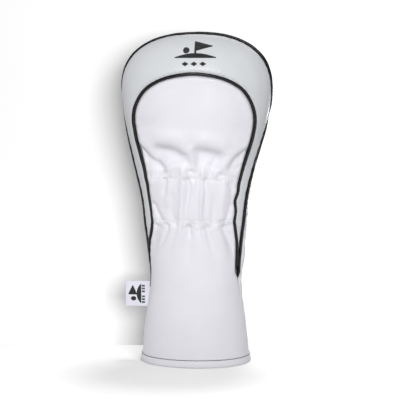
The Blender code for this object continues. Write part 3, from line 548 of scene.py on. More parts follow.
def tubes(name, paths, radius, material, sides=6, closed=False, normals=None, flat=1.0):
    """One mesh holding a tube along each path, with rounded closed ends."""
    verts, faces, base = [], [], 0
    for k, path in enumerate(paths):
        p = np.asarray(path, float)
        nr = None if normals is None else np.asarray(normals[k], float)
        if closed:
            v, f, _, _ = sweep(p, radius, sides, True, nr, flat)
        else:
            t0, t1 = p[0] - p[1], p[-1] - p[-2]
            t0, t1 = t0 / np.linalg.norm(t0), t1 / np.linalg.norm(t1)
            q = np.concatenate([[p[0] + t0 * radius * 0.75], [p[0] + t0 * radius * 0.4], p, [p[-1] + t1 * radius * 0.4], [p[-1] + t1 * radius * 0.75]])
            rad = np.full(len(q), float(radius))
            rad[0] = rad[-1] = radius * 0.35
            rad[1] = rad[-2] = radius * 0.8
            if nr is not None:
                nr = np.concatenate([[nr[0], nr[0]], nr, [nr[-1], nr[-1]]])
            v, f, n, _ = sweep(q, rad, sides, False, nr, flat)
            if sides == 4:
                caps = [list(range(sides))[::-1], [(n - 1) * sides + i for i in range(sides)]]
            elif sides == 6:
                caps = [[0, 3, 2, 1], [0, 5, 4, 3], [(n - 1) * sides + i for i in (0, 1, 2, 3)], [(n - 1) * sides + i for i in (0, 3, 4, 5)]]
            else:
                last = (n - 1) * sides
                caps = []
                for i in range(1, sides - 2, 2):
                    caps.append([0, i + 2, i + 1, i])
                    caps.append([last, last + i, last + i + 1, last + i + 2])
            f = np.concatenate([f, np.array(caps, np.int32)])
        verts.append(v)
        faces.append(f + base)
        base += len(v)
    return mesh_object(name, np.concatenate(verts), np.concatenate(faces), material, 180)


# ---------------------------------------------------------------- materials


class Nodes:
    """A material's node tree, with short calls for the nodes used here."""

    def __init__(self, name):
        self.m = bpy.data.materials.new(name)
        self.m.use_nodes = True
        self.t = self.m.node_tree
        self.b = self.t.nodes["Principled BSDF"]
        self.coord = self.t.nodes.new("ShaderNodeTexCoord").outputs["Object"]

    def new(self, kind, **values):
        n = self.t.nodes.new(kind)
        for k, v in values.items():
            if k in n.inputs:
                n.inputs[k].default_value = v
            else:
                setattr(n, k, v)
        return n

    def link(self, a, b):
        self.t.links.new(a, b)

    def noise(self, scale, detail=3.0, rough=0.55, vector=None):
        n = self.new("ShaderNodeTexNoise", Scale=scale, Detail=detail, Roughness=rough)
        self.link(vector or self.coord, n.inputs["Vector"])
        return n.outputs["Fac"]

    def cells(self, scale, feature="F1", vector=None, smoothness=None):
        n = self.new("ShaderNodeTexVoronoi", Scale=scale)
        n.feature = feature
        if smoothness is not None and "Smoothness" in n.inputs:
            n.inputs["Smoothness"].default_value = smoothness
        self.link(vector or self.coord, n.inputs["Vector"])
        return n.outputs["Distance"]

    def waves(self, scale, direction="X", distortion=0.0, vector=None, profile="SIN"):
        n = self.new("ShaderNodeTexWave", Scale=scale, Distortion=distortion)
        n.wave_type, n.bands_direction, n.wave_profile = "BANDS", direction, profile
        self.link(vector or self.coord, n.inputs["Vector"])
        return n.outputs["Fac"]

    def math(self, op, a, b=None, c=None):
        n = self.t.nodes.new("ShaderNodeMath")
        n.operation = op
        for i, v in enumerate((a, b, c)):
            if v is None:
                continue
            if isinstance(v, (int, float)):
                n.inputs[i].default_value = v
            else:
                self.link(v, n.inputs[i])
        return n.outputs[0]

    def ramp(self, fac, stops):
        n = self.t.nodes.new("ShaderNodeValToRGB")
        e = n.color_ramp.elements
        while len(e) < len(stops):
            e.new(0.5)
        for k, (p, c) in enumerate(stops):
            e[k].position = p
            e[k].color = (*c, 1.0) if not isinstance(c, (int, float)) else (c, c, c, 1.0)
        self.link(fac, n.inputs[0])
        return n.outputs[0]

    def bump(self, height, strength, distance, under=None):
        n = self.new("ShaderNodeBump", Strength=strength, Distance=distance)
        self.link(height, n.inputs["Height"])
        if under is not None:
            self.link(under, n.inputs["Normal"])
        return n.outputs[0]

    def finish(self, colour=None, rough=None, normal=None, **values):
        for k, v in values.items():
            self.b.inputs[k].default_value = v
        if colour is not None:
            self.link(colour, self.b.inputs["Base Color"])
        if rough is not None:
            self.link(rough, self.b.inputs["Roughness"])
        if normal is not None:
            self.link(normal, self.b.inputs["Normal"])
        return self.m


def tone(c, k):
    return tuple(min(1.0, v * k) for v in c)


def coated_fabric(name, colour, grain=1.0, rough=(0.40, 0.50), seed=0.0):
    """Polyurethane coated fabric: fine pebble grain, soft sheen, hardly any change of colour."""
    m = Nodes(name)
    soft = m.noise(38.0 + seed, 3.0)
    c = m.ramp(soft, [(0.3, tone(colour, 0.975)), (0.7, tone(colour, 1.012))])
    pebble = m.cells(1500.0, "SMOOTH_F1", smoothness=0.6)
    creases = m.cells(620.0, "DISTANCE_TO_EDGE")
    pores = m.noise(2600.0, 2.0)
    grain_h = m.math("ADD", m.math("MULTIPLY", pebble, 0.6), m.math("MULTIPLY", m.math("MINIMUM", creases, 0.22), 1.2))
    grain_h = m.math("ADD", grain_h, m.math("MULTIPLY", pores, 0.25))
    n = m.bump(grain_h, 0.16 * grain, 0.00012)
    n = m.bump(m.noise(120.0, 2.0), 0.05, 0.0006, n)
    r = m.ramp(m.noise(90.0 + seed, 3.0), [(0.3, rough[0]), (0.7, rough[1])])
    return m.finish(c, r, n, **{"Specular IOR Level": 0.42, "Sheen Weight": 0.06, "Sheen Roughness": 0.5})


WHITE_RGB = (0.860, 0.850, 0.905)
GREY_RGB = (0.730, 0.748, 0.776)

white_cloth = coated_fabric("coated_white", WHITE_RGB)
back_cloth = coated_fabric("coated_white_back", WHITE_RGB, seed=7.0)
hem_cloth = coated_fabric("coated_white_hem", tone(WHITE_RGB, 0.995), seed=3.0)
grey_cloth = coated_fabric("coated_grey", GREY_RGB, grain=0.9, rough=(0.34, 0.42), seed=11.0)


def piping_material():
    m = Nodes("glossy_piping")
    c = m.ramp(m.noise(160.0, 2.0), [(0.3, (0.003, 0.003, 0.0033)), (0.7, (0.006, 0.006, 0.0066))])
    n = m.bump(m.cells(1300.0, "SMOOTH_F1", smoothness=0.5), 0.10, 0.0001)
    n = m.bump(m.noise(240.0, 2.0), 0.22, 0.0005, n)
    r = m.ramp(m.noise(300.0, 2.0), [(0.3, 0.20), (0.7, 0.30)])
    return m.finish(c, r, n, **{"Specular IOR Level": 0.22, "Coat Weight": 0.06, "Coat Roughness": 0.15})


def thread_material(name, colour, rough=0.5, ply=900.0):
    m = Nodes(name)
    c = m.ramp(m.noise(500.0, 2.0), [(0.3, tone(colour, 0.9)), (0.7, tone(colour, 1.06))])
    n = m.bump(m.waves(ply, "DIAGONAL", 1.5), 0.5, 0.00012)
    return m.finish(c, None, n, **{"Roughness": rough, "Sheen Weight": 0.3, "Sheen Roughness": 0.4})


piping_black = piping_material()
thread_white = thread_material("thread_white", (0.93, 0.94, 0.99), 0.4)
thread_dark = thread_material("thread_dark", (0.012, 0.014, 0.017), 0.5)
thread_black = thread_material("embroidery_black", (0.008, 0.009, 0.009), 0.42)


def fleece_material():
    m = Nodes("lining_fleece")
    c = m.ramp(m.noise(420.0, 4.0, 0.7), [(0.3, (0.050, 0.050, 0.055)), (0.7, (0.115, 0.115, 0.125))])
    n = m.bump(m.noise(900.0, 4.0, 0.7), 0.9, 0.0009)
    n = m.bump(m.noise(140.0, 3.0), 0.5, 0.0012, n)
    return m.finish(c, None, n, **{"Roughness": 0.95, "Sheen Weight": 0.7, "Sheen Roughness": 0.6, "Specular IOR Level": 0.15})


def foam_material():
    m = Nodes("padding_foam")
    c = m.ramp(m.cells(900.0), [(0.1, (0.70, 0.69, 0.63)), (0.8, (0.83, 0.82, 0.77))])
    n = m.bump(m.cells(1100.0), 0.7, 0.0004)
    return m.finish(c, None, n, **{"Roughness": 0.95, "Specular IOR Level": 0.15})


def elastic_material():
    m = Nodes("elastic_webbing")
    ribs = m.waves(330.0, "Z", 0.4)
    c = m.ramp(ribs, [(0.2, (0.62, 0.62, 0.62)), (0.8, (0.84, 0.84, 0.84))])
    n = m.bump(ribs, 0.8, 0.0004)
    n = m.bump(m.waves(700.0, "X", 0.6), 0.4, 0.0002, n)
    return m.finish(c, None, n, **{"Roughness": 0.85})


def woven_material(name, colour):
    """Damask label tape: fine warp and weft."""
    m = Nodes(name)
    warp, weft = m.waves(1050.0, "Z", 0.3), m.waves(760.0, "X", 0.3)
    weave = m.math("MAXIMUM", warp, weft)
    c = m.ramp(weave, [(0.35, tone(colour, 0.93)), (0.9, tone(colour, 1.03))])
    n = m.bump(weave, 0.35, 0.00010)
    return m.finish(c, None, n, **{"Roughness": 0.55, "Sheen Weight": 0.35, "Sheen Roughness": 0.4})


fleece, foam, elastic = fleece_material(), foam_material(), elastic_material()
label_white = woven_material("label_tape", (0.885, 0.875, 0.965))
label_black = woven_material("label_black", (0.012, 0.013, 0.014))
label_green = woven_material("label_green", (0.070, 0.125, 0.130))

# ---------------------------------------------------------------- cloth pass


def settle(points, side, held, steps=14, cap=0.4, pressure=1.0, grow=0.010, coarse=(70, 150), stiff=14.0):
    """Runs Blender's cloth on a coarser copy of a panel's grid, held at its sewn points, and returns how far each point of
    the fine grid moved. The cut is a little larger than the space it is sewn into, so it buckles into small folds."""
    nv, nu = points.shape[:2]
    cv, cu = min(coarse[1], nv), min(coarse[0], nu)
    jj, ii = np.linspace(0, nv - 1, cv), np.linspace(0, nu - 1, cu)
    j0, i0 = np.clip(jj.astype(int), 0, nv - 2), np.clip(ii.astype(int), 0, nu - 2)
    fj, fi = (jj - j0)[:, None, None], (ii - i0)[None, :, None]

    def sample(g):
        g = g if g.ndim == 3 else g[..., None]
        return (g[j0][:, i0] * (1 - fj) + g[j0 + 1][:, i0] * fj) * (1 - fi) + (g[j0][:, i0 + 1] * (1 - fj) + g[j0 + 1][:, i0 + 1] * fj) * fi

    p, w = sample(points), sample(held)[..., 0]
    obj = mesh_object("cloth_pass", p.reshape(-1, 3) * 10.0, grid_faces(cv, cu, 0, side < 0))  # ten times size, where the solver is steady
    group = obj.vertex_groups.new(name="held")
    for k, x in enumerate(np.clip(w.ravel(), 0, 1)):
        if x > 0.02:
            group.add([k], float(x), "REPLACE")
    mod = obj.modifiers.new("cloth", "CLOTH")
    s = mod.settings
    s.quality = 6
    s.mass = 0.4
    s.air_damping = 3.0
    s.tension_stiffness, s.compression_stiffness, s.shear_stiffness, s.bending_stiffness = 40.0, 40.0, 15.0, stiff
    s.tension_damping, s.compression_damping, s.shear_damping, s.bending_damping = 20.0, 20.0, 15.0, 1.0
    s.vertex_group_mass = "held"
    s.pin_stiffness = 20.0
    s.shrink_min = -grow
    s.use_pressure = True
    s.uniform_pressure_force = pressure
    s.effector_weights.gravity = 0.0
    mod.collision_settings.use_collision = False
    mod.point_cache.frame_start, mod.point_cache.frame_end = 1, steps + 1
    scene = bpy.context.scene
    for f in range(1, steps + 1):
        scene.frame_set(f)
    moved = obj.evaluated_get(bpy.context.evaluated_depsgraph_get()).to_mesh()
    co = np.zeros(len(moved.vertices) * 3, np.float32)
    moved.vertices.foreach_get("co", co)
    scene.frame_set(1)
    bpy.data.objects.remove(obj)
    d = (co.reshape(cv, cu, 3).astype(float) / MM / 10.0) - p
    size = np.linalg.norm(d, axis=-1, keepdims=True)
    d *= cap * np.tanh(size / cap) / np.maximum(size, 1e-9)
    d *= 1 - np.clip(w, 0, 1)[..., None]
    print("cloth pass", steps, "steps, most", round(float(np.linalg.norm(d, axis=-1).max()), 2), "mm")
    # back up to the fine grid
    vj, vi = np.linspace(0, cv - 1, nv), np.linspace(0, cu - 1, nu)
    a, b = np.clip(vj.astype(int), 0, cv - 2), np.clip(vi.astype(int), 0, cu - 2)
    tj, ti = (vj - a)[:, None, None], (vi - b)[None, :, None]
    tj, ti = tj * tj * (3 - 2 * tj), ti * ti * (3 - 2 * ti)
    return (d[a][:, b] * (1 - tj) + d[a + 1][:, b] * tj) * (1 - ti) + (d[a][:, b + 1] * (1 - tj) + d[a + 1][:, b + 1] * tj) * ti


# ---------------------------------------------------------------- panel outlines
PANEL_FOOT_Z = 2.3
EDGE_IN = 1.25  # panel edge to piping centre line; the roll takes it under the cord
SEAM_IN = 0.22
half = len(perimeter) // 2
zp = perimeter[:, 1]


def by_side(stations, values):
    below = np.where(np.arange(len(zp)) < half, PIPING_END_Z[0], PIPING_END_Z[1])
    return np.interp(zp - below, stations, values)


def edge_in(line):
    """Panel edge to piping centre line: below the head the panels close over more of the cord."""
    return np.interp(line[:, 1], [150.0, 205.0], [0.75, EDGE_IN])


back_edge = upper(inset(perimeter, -by_side([-6.0, -1.0], [SEAM_IN, EDGE_IN])), PANEL_FOOT_Z)
low_edge = inset(perimeter, by_side([-6.0, -1.0], [SEAM_IN, EDGE_IN]) + np.interp(zp, [86.0, 93.5], [0.0, 4.2]))
keep_l = (low_edge[:, 1] >= PANEL_FOOT_Z) & (low_edge[:, 1] <= 92.0) & (np.arange(len(zp)) < half)
keep_r = (low_edge[:, 1] >= PANEL_FOOT_Z) & (low_edge[:, 1] <= 92.0) & (np.arange(len(zp)) >= half)
front_edge = even(np.concatenate([low_edge[keep_l], upper(inset(front_seam, edge_in(front_seam)), 96.5), low_edge[keep_r]]), 1400)
front_edge = blur(front_edge, 5)


def on_front(line, off=0.0):
    return skin(1, line[:, 0], line[:, 1], np.full(len(line), off))


# ---------------------------------------------------------------- front panel
FU, FV = 120, 270
l, t, r = split_sides(front_edge)
g = coons(l, t, r, FU, FV)
base = surface(1, g[..., 0], g[..., 1])
_, _, nrm = frame_at(1, g[..., 0], g[..., 1])
d_edge = edge_distance(base, on_front(front_edge))
calm = np.clip(d_edge / 5.0, 0, 1)
calm = calm * calm * (3 - 2 * calm)
lift = front_folds(base[..., 0], base[..., 2]) * (0.3 + 0.7 * calm) + seam_roll(d_edge, np.interp(base[..., 2], [100.0, 150.0, 205.0], [1.0, 0.45, 1.0]))
lift += 0.16 * np.sin(base[..., 2] * 2 * math.pi / 9.5 + 1.3 * waver(base[..., 2], 0 * base[..., 2], 3, 40.0)) * np.exp(-(((d_edge - 2.6) / 2.4) ** 2)) * np.clip((base[..., 2] - 90) / 20, 0, 1)
front_pts = base + nrm * lift[..., None]
sewn = np.exp(-((d_edge / 1.6) ** 2))
for row in (UPPER_ROW, LOWER_ROW):
    sewn = np.maximum(sewn, np.exp(-(((base[..., 2] - row_z(row, base[..., 0])) / 1.8) ** 2)))
sewn = np.maximum(sewn, (base[..., 2] < 9.5) * 1.0)
sewn = np.maximum(sewn, 0.35 * np.clip((base[..., 2] - 200) / 30, 0, 1))  # the foam behind the head steadies it
sewn = np.maximum(sewn, 0.8 * np.clip((136 - base[..., 2]) / 14, 0, 1))  # and the skirt hangs smooth
front_pts = front_pts + settle(front_pts, 1, sewn, coarse=(76, 170))
front_panel = slab("front_panel_cloth", front_pts, 1, 1.0, white_cloth)
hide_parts("front_panel")

# ---------------------------------------------------------------- back panel
BU, BV = 130, 230
bl = np.stack(to_back(back_edge[:, 0], back_edge[:, 1]), 1)
l, t, r = split_sides(bl)
gb = coons(l, t, r, BU, BV)
bbase = surface(-1, gb[..., 0], gb[..., 1])
_, _, bn = frame_at(-1, gb[..., 0], gb[..., 1])
b_edge = edge_distance(bbase, surface(-1, bl[:, 0], bl[:, 1]))
BACK_UPPER = [(-70.0, 186.5), (70.0, 186.5)]
BACK_LOWER = [(-70.0, 143.0), (70.0, 143.0)]


def back_folds(x, z):
    """Gathers of the back panel between its two rows, and the soft folds that run out of them."""
    d = np.zeros(x.shape)
    rng = np.random.default_rng(41)
    for k, x0 in enumerate(np.linspace(-46, 46, 8)):
        x0 = x0 + rng.uniform(-2.5, 2.5)
        h, w = rng.uniform(0.8, 1.4), rng.uniform(2.6, 3.8)
        up, down = rng.uniform(8, 22), rng.uniform(10, 32)
        spread = x0 / 46
        d += fold([(x0 * 1.12 + spread * 2, 187 + up), (x0 * 1.04, 187.0), (x0 + rng.uniform(-1.5, 1.5), 165.0), (x0 * 0.97, 143.0), (x0 * 0.99 + spread * 3, 143 - down)], h, w, w * 0.8, x, z, (0.25, 0.3))
        x1 = x0 + rng.uniform(5, 7)
        d += fold([(x1 * 1.06, 190.0), (x1, 165.0), (x1 * 0.98, 139.0)], -0.8, 2.4, 2.4, x, z, (0.2, 0.2))
    d += fold([(-52.0, 214.0), (-34.0, 209.0), (-12.0, 207.5), (6.0, 210.5)], -1.5, 4.5, 3.2, x, z, (0.25, 0.25))
    d += fold([(10.0, 213.0), (28.0, 210.0), (50.0, 215.0)], -1.3, 4.5, 3.2, x, z, (0.3, 0.25))
    d += fold([(-60.0, 206.0), (-48.0, 196.5), (-40.0, 189.0)], -1.2, 3.2, 2.6, x, z, (0.2, 0.1))
    d += fold([(60.0, 208.0), (50.0, 197.0), (43.0, 189.0)], -1.1, 2.8, 3.2, x, z, (0.2, 0.1))
    d += 0.12 * waver(x, z, 9, 36.0)
    d += dome(70.0, 106.0, 16.0, 18.0, 1.8, x, z)
    for row, seed in ((BACK_UPPER, 21), (BACK_LOWER, 22)):
        s = z - row_z(row, x)
        d += -1.3 * np.exp(-((s / 2.3) ** 2)) - 0.5 * np.exp(-((s / 9.0) ** 2))
        phase = x * (2 * math.pi / 4.9) + 1.6 * waver(x, 0 * x, seed, 22.0)
        d += 0.32 * np.sin(phase) * np.exp(-((np.abs(s) - 1.6).clip(0) / 3.4) ** 2)
    return d


# unrolled distance round the back, so that the folds keep their width towards the sides
arc = np.radians(gb[..., 0]) * 0.82 * half_width(np.minimum(gb[..., 1], CROWN_Z))
calm = np.clip(b_edge / 5.0, 0, 1)
calm = calm * calm * (3 - 2 * calm)
lift = back_folds(arc, bbase[..., 2]) * (0.25 + 0.75 * calm) + seam_roll(b_edge)
back_pts = bbase + bn * lift[..., None]
sewn = np.exp(-((b_edge / 1.6) ** 2))
for row in (BACK_UPPER, BACK_LOWER):
    sewn = np.maximum(sewn, np.exp(-(((bbase[..., 2] - row_z(row, arc)) / 1.8) ** 2)))
sewn = np.maximum(sewn, (bbase[..., 2] < 9.5) * 1.0)
sewn = np.maximum(sewn, 0.35 * np.clip((bbase[..., 2] - 200) / 30, 0, 1))
back_pts = back_pts + settle(back_pts, -1, sewn, coarse=(80, 150))
back_panel = slab("back_panel_cloth", back_pts, -1, 1.0, back_cloth)
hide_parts("back_panel")

# ---------------------------------------------------------------- crown gusset
GUSSET_ENDS = (97.0, 100.0)
f_in = two_ends(inset(front_seam, -edge_in(front_seam)), GUSSET_ENDS)
p_in = two_ends(inset(perimeter, EDGE_IN), GUSSET_ENDS)
gg = strip(p_in, f_in, 420, 34)
gbase = surface(1, gg[..., 0], gg[..., 1])
_, _, gn = frame_at(1, gg[..., 0], gg[..., 1])
g_edge = edge_distance(gbase, np.concatenate([on_front(f_in), on_front(p_in)]))
lift = seam_roll(g_edge, plump=0.25) + 0.10 * waver(gbase[..., 0] + gbase[..., 1], gbase[..., 2], 15, 30.0)
strip_run = np.linspace(0, 1, gg.shape[1])[None, :] * 620.0
lift += 0.13 * np.sin(strip_run * 2 * math.pi / 10.5 + 1.5 * waver(strip_run, 0 * strip_run, 31, 55.0)) * np.exp(-(((g_edge - 2.4) / 2.2) ** 2))
gusset_pts = gbase + gn * lift[..., None]
gusset = slab("crown_gusset_cloth", gusset_pts, 1, 1.0, grey_cloth)
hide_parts("crown_gusset")

# ---------------------------------------------------------------- piping cords
PIPING_R = 1.55


def cord_path(line, ends, spacing, dive, stand):
    line = two_ends(line, ends)
    p = on_front(line)
    d = np.concatenate([[0], np.cumsum(np.linalg.norm(np.diff(p, axis=0), axis=1))])
    n = int(d[-1] / spacing)
    s = np.linspace(0, d[-1], n)
    line = np.stack([np.interp(s, d, line[:, 0]), np.interp(s, d, line[:, 1])], 1)
    near = np.minimum(s, d[-1] - s)
    off = stand(line[:, 0], line[:, 1]) - dive * np.exp(-((near / 3.2) ** 2)) + 0.07 * waver(s, 0 * s, 51, 17.0)
    _, _, nn = frame_at(1, line[:, 0], line[:, 1])
    return skin(1, line[:, 0], line[:, 1], off), nn, s


def front_stand(a, b):
    return np.interp(b, [110.0, 150.0, 205.0, 240.0], [0.1, -0.5, 0.2, 0.6])


def rear_stand(a, b):
    """The perimeter cord stands proud over the crown and sinks in at the sides of the head."""
    up = np.degrees(np.arctan2(np.degrees(np.maximum(b - CROWN_Z, 0) / ARC_MM), np.abs(a)))
    crown = np.interp(up, [4.0, 34.0], [0.0, 1.0])
    left = np.interp(b, [100.0, 116.0, 138.0, 156.0, 215.0, 240.0, 262.0, 271.0], [0.1, 0.5, 0.5, 0.1, 0.1, -0.4, -0.4, 0.0])
    right = np.interp(b, [225.0, 239.0, 243.0, 250.0, 256.0, 271.0], [0.2, 0.1, -0.5, -0.5, 0.25, 0.25])
    return np.where(b > CROWN_Z, np.where(a > 0, 0.25, 0.0) + 1.1 * crown, np.where(a > 0, right, left))


for name, line, ends, slot_node, stand in (("front_piping_cord", front_seam, FRONT_PIPING_END_Z, "front_piping", front_stand), ("rear_piping_cord", perimeter, PIPING_END_Z, "rear_piping", rear_stand)):
    p, nn, s = cord_path(line, ends, 1.0, 1.7, stand)
    cord = tubes(name, [p], PIPING_R, piping_black, sides=16, normals=[nn])
    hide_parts(slot_node)

# ---------------------------------------------------------------- zigzag rows


def tree_of(points, side):
    nv, nu = points.shape[:2]
    return BVHTree.FromPolygons([tuple(p) for p in points.reshape(-1, 3)], [tuple(int(i) for i in f) for f in grid_faces(nv, nu, 0, side < 0)], epsilon=0.0)


front_tree, back_tree, gusset_tree = tree_of(front_pts, 1), tree_of(back_pts, -1), tree_of(gusset_pts, 1)


def give_way(tree, side, grid, own, under):
    """Depth of a hidden layer's outer face: its own, or as deep as the folds of the cloth above press it."""
    p = surface(side, grid[..., 0], grid[..., 1])
    _, _, n = frame_at(side, grid[..., 0], grid[..., 1])
    deep = np.zeros(p.shape[:2])
    for j in range(p.shape[0]):
        for i in range(p.shape[1]):
            hit = tree.ray_cast(Vector(p[j, i] + n[j, i] * 8.0), Vector(-n[j, i]), 24.0)[0]
            if hit is not None:
                deep[j, i] = float(np.dot(p[j, i] - np.array(hit), n[j, i])) + under
    wide = deep.copy()
    for dj in (-1, 0, 1):
        for di in (-1, 0, 1):
            wide = np.maximum(wide, np.pad(deep, 1, mode="edge")[1 + dj : 1 + dj + deep.shape[0], 1 + di : 1 + di + deep.shape[1]])
    return np.maximum(own, wide)


def onto(tree, p, n, off):
    """The cloth's face under a point of the body surface, off mm above it."""
    hit = tree.ray_cast(Vector(p + n * 12.0), Vector(-n), 40.0)
    if hit[0] is None:
        near = tree.find_nearest(Vector(p))
        return np.array(near[0]) + n * off
    return np.array(hit[0]) + n * off


def chart_at_front(x, z):
    return front_to_chart(float(x), float(z))


def zigzag(name, tree, side, row, x0, x1, pitch, height, material, node, radius=0.33):
    """Zigzag stitches: each leg is a thread that rises out of one needle hole and goes down into the next."""
    count = int((x1 - x0) / (pitch / 2))
    legs, norms = [], []
    rng = np.random.default_rng(int(abs(row[0][1]) * 10) + (side < 0))
    holes = []
    for k in range(count + 1):
        x = x0 + k * pitch / 2
        z = float(row_z(row, x)) + (height / 2 if k % 2 else -height / 2) + rng.uniform(-0.12, 0.12)
        holes.append((x + rng.uniform(-0.1, 0.1), z))
    for (xa, za), (xb, zb) in zip(holes, holes[1:]):
        leg, nn = [], []
        for q, off in ((0.0, -0.10), (0.12, 0.22), (0.35, 0.38), (0.65, 0.38), (0.88, 0.22), (1.0, -0.10)):
            x, z = xa + (xb - xa) * q, za + (zb - za) * q
            if side > 0:
                a, b = chart_at_front(x, z)
            else:
                a, b = math.degrees(x / (0.82 * float(half_width(z)))), z
            _, _, n = frame_at(side, a, b)
            p = surface(side, a, b)
            leg.append(onto(tree, p, n, off))
            nn.append(n)
        legs.append(leg)
        norms.append(nn)
    obj = tubes(name, legs, radius, material, sides=6, normals=norms)
    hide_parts(node)
    return obj


def front_limits(row):
    """Where a row meets the panel's edges, as front-view distances."""
    pts = on_front(front_edge)
    m = len(pts) // 2
    out = []
    for part in (pts[:m], pts[m:]):
        i = int(np.argmin(np.abs(part[:, 2] - row_z(row, part[:, 0])) + (part[:, 2] < 100) * 99))
        out.append(part[i, 0])
    return out[0] + 1.0, out[1] - 1.0


thread_pieces = []
for name, row, node in (("front_upper_stitches", UPPER_ROW, "front_upper_zigzag"), ("front_lower_stitches", LOWER_ROW, "front_lower_zigzag")):
    x0, x1 = front_limits(row)
    thread_pieces.append(zigzag(name, front_tree, 1, row, x0, x1, 2.6, 4.1, thread_white, node))


def back_limits(z):
    i = len(bl) // 2
    left = np.interp(z, bl[:i][:, 1], bl[:i][:, 0])
    right = np.interp(z, bl[i:][::-1, 1], bl[i:][::-1, 0])
    k = 0.82 * float(half_width(z))
    return math.radians(left) * k + 1.0, math.radians(right) * k - 1.0


for name, row, node in (("back_upper_stitches", BACK_UPPER, "back_upper_zigzag"), ("back_lower_stitches", BACK_LOWER, "back_lower_zigzag")):
    x0, x1 = back_limits(row[0][1])
    thread_pieces.append(zigzag(name, back_tree, -1, row, x0, x1, 2.6, 4.1, thread_white, node))

# ---------------------------------------------------------------- hem
HEM_N = 260
turn = np.linspace(-180, 180, HEM_N + 1)[:-1]


def hem_row(off, z, angles=turn):
    p = surface(1, angles, np.full(len(angles), float(max(z, 0.0))))
    q = surface(1, angles + 0.1, np.full(len(angles), float(max(z, 0.0)))) - surface(1, angles - 0.1, np.full(len(angles), float(max(z, 0.0))))
    n = np.stack([q[:, 1], -q[:, 0]], 1)
    n /= np.linalg.norm(n, axis=1, keepdims=True)
    p[:, :2] += n * np.asarray(off).reshape(-1, 1)
    p[:, 2] = z
    return p, np.concatenate([n, np.zeros((len(n), 1))], 1)


hem_profile = [
    (0.42, 8.55), (0.60, 8.62), (0.80, 8.52), (0.92, 8.25), (0.94, 7.9), (0.92, 7.45), (1.06, 6.8), (1.28, 5.6), (1.38, 4.2), (1.36, 2.8), (1.22, 1.7), (0.94, 0.80), (0.55, 0.25), (0.10, 0.0),
    (-1.2, 0.0), (-2.8, 0.0), (-4.1, 0.0), (-4.55, 0.25), (-4.95, 0.80), (-5.22, 1.7), (-5.3, 3.0), (-5.3, 5.6), (-5.26, 7.5), (-5.3, 8.5), (-5.1, 8.85), (-4.75, 8.85), (-4.5, 8.5), (-4.46, 7.0), (-4.46, 3.2), (-4.35, 1.9),
    (-4.0, 1.15), (-3.4, 0.85), (-1.6, 0.8), (-0.4, 0.85), (0.15, 1.15), (0.38, 1.9), (0.45, 3.2), (0.42, 5.6), (0.40, 7.4),
]
arc_len = np.radians(turn) * 47.0
hem_pts = []
for off, z in hem_profile:
    amp = np.interp(z, [0.0, 2.0, 8.9], [0.0, 0.5, 1.0]) * (off > -2)
    ripple = 0.16 * np.sin(turn * math.pi / 180 * 42 + 1.4 * waver(arc_len, 0 * arc_len, 61, 40.0)) * np.exp(-(((z - 7.6) / 1.6) ** 2)) + 0.14 * waver(np.cos(np.radians(turn)) * 50, np.sin(np.radians(turn)) * 50, 62, 36.0)
    p, _ = hem_row(off + ripple * amp, z)
    hem_pts.append(p)
hem_pts = np.stack(hem_pts + [hem_pts[0]])
nv = len(hem_profile)
hf = grid_faces(nv + 1, HEM_N, 0, False, wrap=True)
hf = np.where(hf >= nv * HEM_N, hf - nv * HEM_N, hf)
hem = mesh_object("hem_fold", hem_pts[:-1].reshape(-1, 3), hf[:, ::-1], hem_cloth, 75)
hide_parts("hem_band")

# the stitch line round it
stitches, norms = [], []
COUNT = 96
hem_tree = BVHTree.FromPolygons([tuple(v) for v in hem_pts[:-1].reshape(-1, 3)], [tuple(int(i) for i in f) for f in hf], epsilon=0.0)
sm = surface(1, np.linspace(-180, 180, 2001), np.full(2001, 7.6))
sd = np.concatenate([[0], np.cumsum(np.linalg.norm(np.diff(sm, axis=0), axis=1))])
rng = np.random.default_rng(77)
for k in range(COUNT):
    s0 = (k + 0.05) / COUNT * sd[-1]
    s1 = (k + 0.95) / COUNT * sd[-1]
    path, nn = [], []
    dz = rng.uniform(-0.07, 0.07)
    for q, off in ((0.0, -0.16), (0.1, 0.10), (0.3, 0.20), (0.5, 0.22), (0.7, 0.20), (0.9, 0.10), (1.0, -0.16)):
        ang = np.array([np.interp(s0 + (s1 - s0) * q, sd, np.linspace(-180, 180, 2001))])
        p, n = hem_row(0.0, 7.6 + dz, ang)
        path.append(onto(hem_tree, p[0], n[0], off))
        nn.append(n[0])
    stitches.append(path)
    norms.append(nn)
topstitch = tubes("hem_stitches", stitches, 0.33, thread_dark, sides=6, normals=norms)
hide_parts("hem_topstitch")

# ---------------------------------------------------------------- lining, padding, elastic: under the panels
LINING_EDGE = 89.6
legs = [(-LINING_EDGE, z) for z in np.linspace(PANEL_FOOT_Z, CROWN_Z, 60)]
arch = [arch_point(d, LINING_EDGE) for d in np.linspace(180, 0, 120)]
lining_line = np.array(legs + arch[1:-1] + [(-a, b) for a, b in reversed(legs)])
l, t, r = split_sides(lining_line)
lg = coons(l, t, r, 64, 90)
lining_pieces, elastic_pieces = [], []
for name, side, node in (("front_lining_fleece", 1, "front_lining"), ("back_lining_fleece", -1, "back_lining")):
    depth = lining_depth(np.minimum(lg[..., 1], 330)) + 0.25 * (1 + waver(lg[..., 0] * 0.8, lg[..., 1], 70 + side, 16.0)) * np.clip((lg[..., 1] - 12) / 20, 0, 1)
    depth = give_way(front_tree if side > 0 else back_tree, side, lg, depth, 2.1)
    pts = skin(side, lg[..., 0], lg[..., 1], -depth)
    piece = slab(name, pts, side, 1.5, fleece)
    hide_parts(node)
    lining_pieces.append((piece, pts, "front_padding" if side > 0 else "back_padding"))

FOAM_DEPTH, FOAM_T, FOAM_INSET, FOAM_FOOT_Z = 2.2, 2.1, 3.6, 194.0


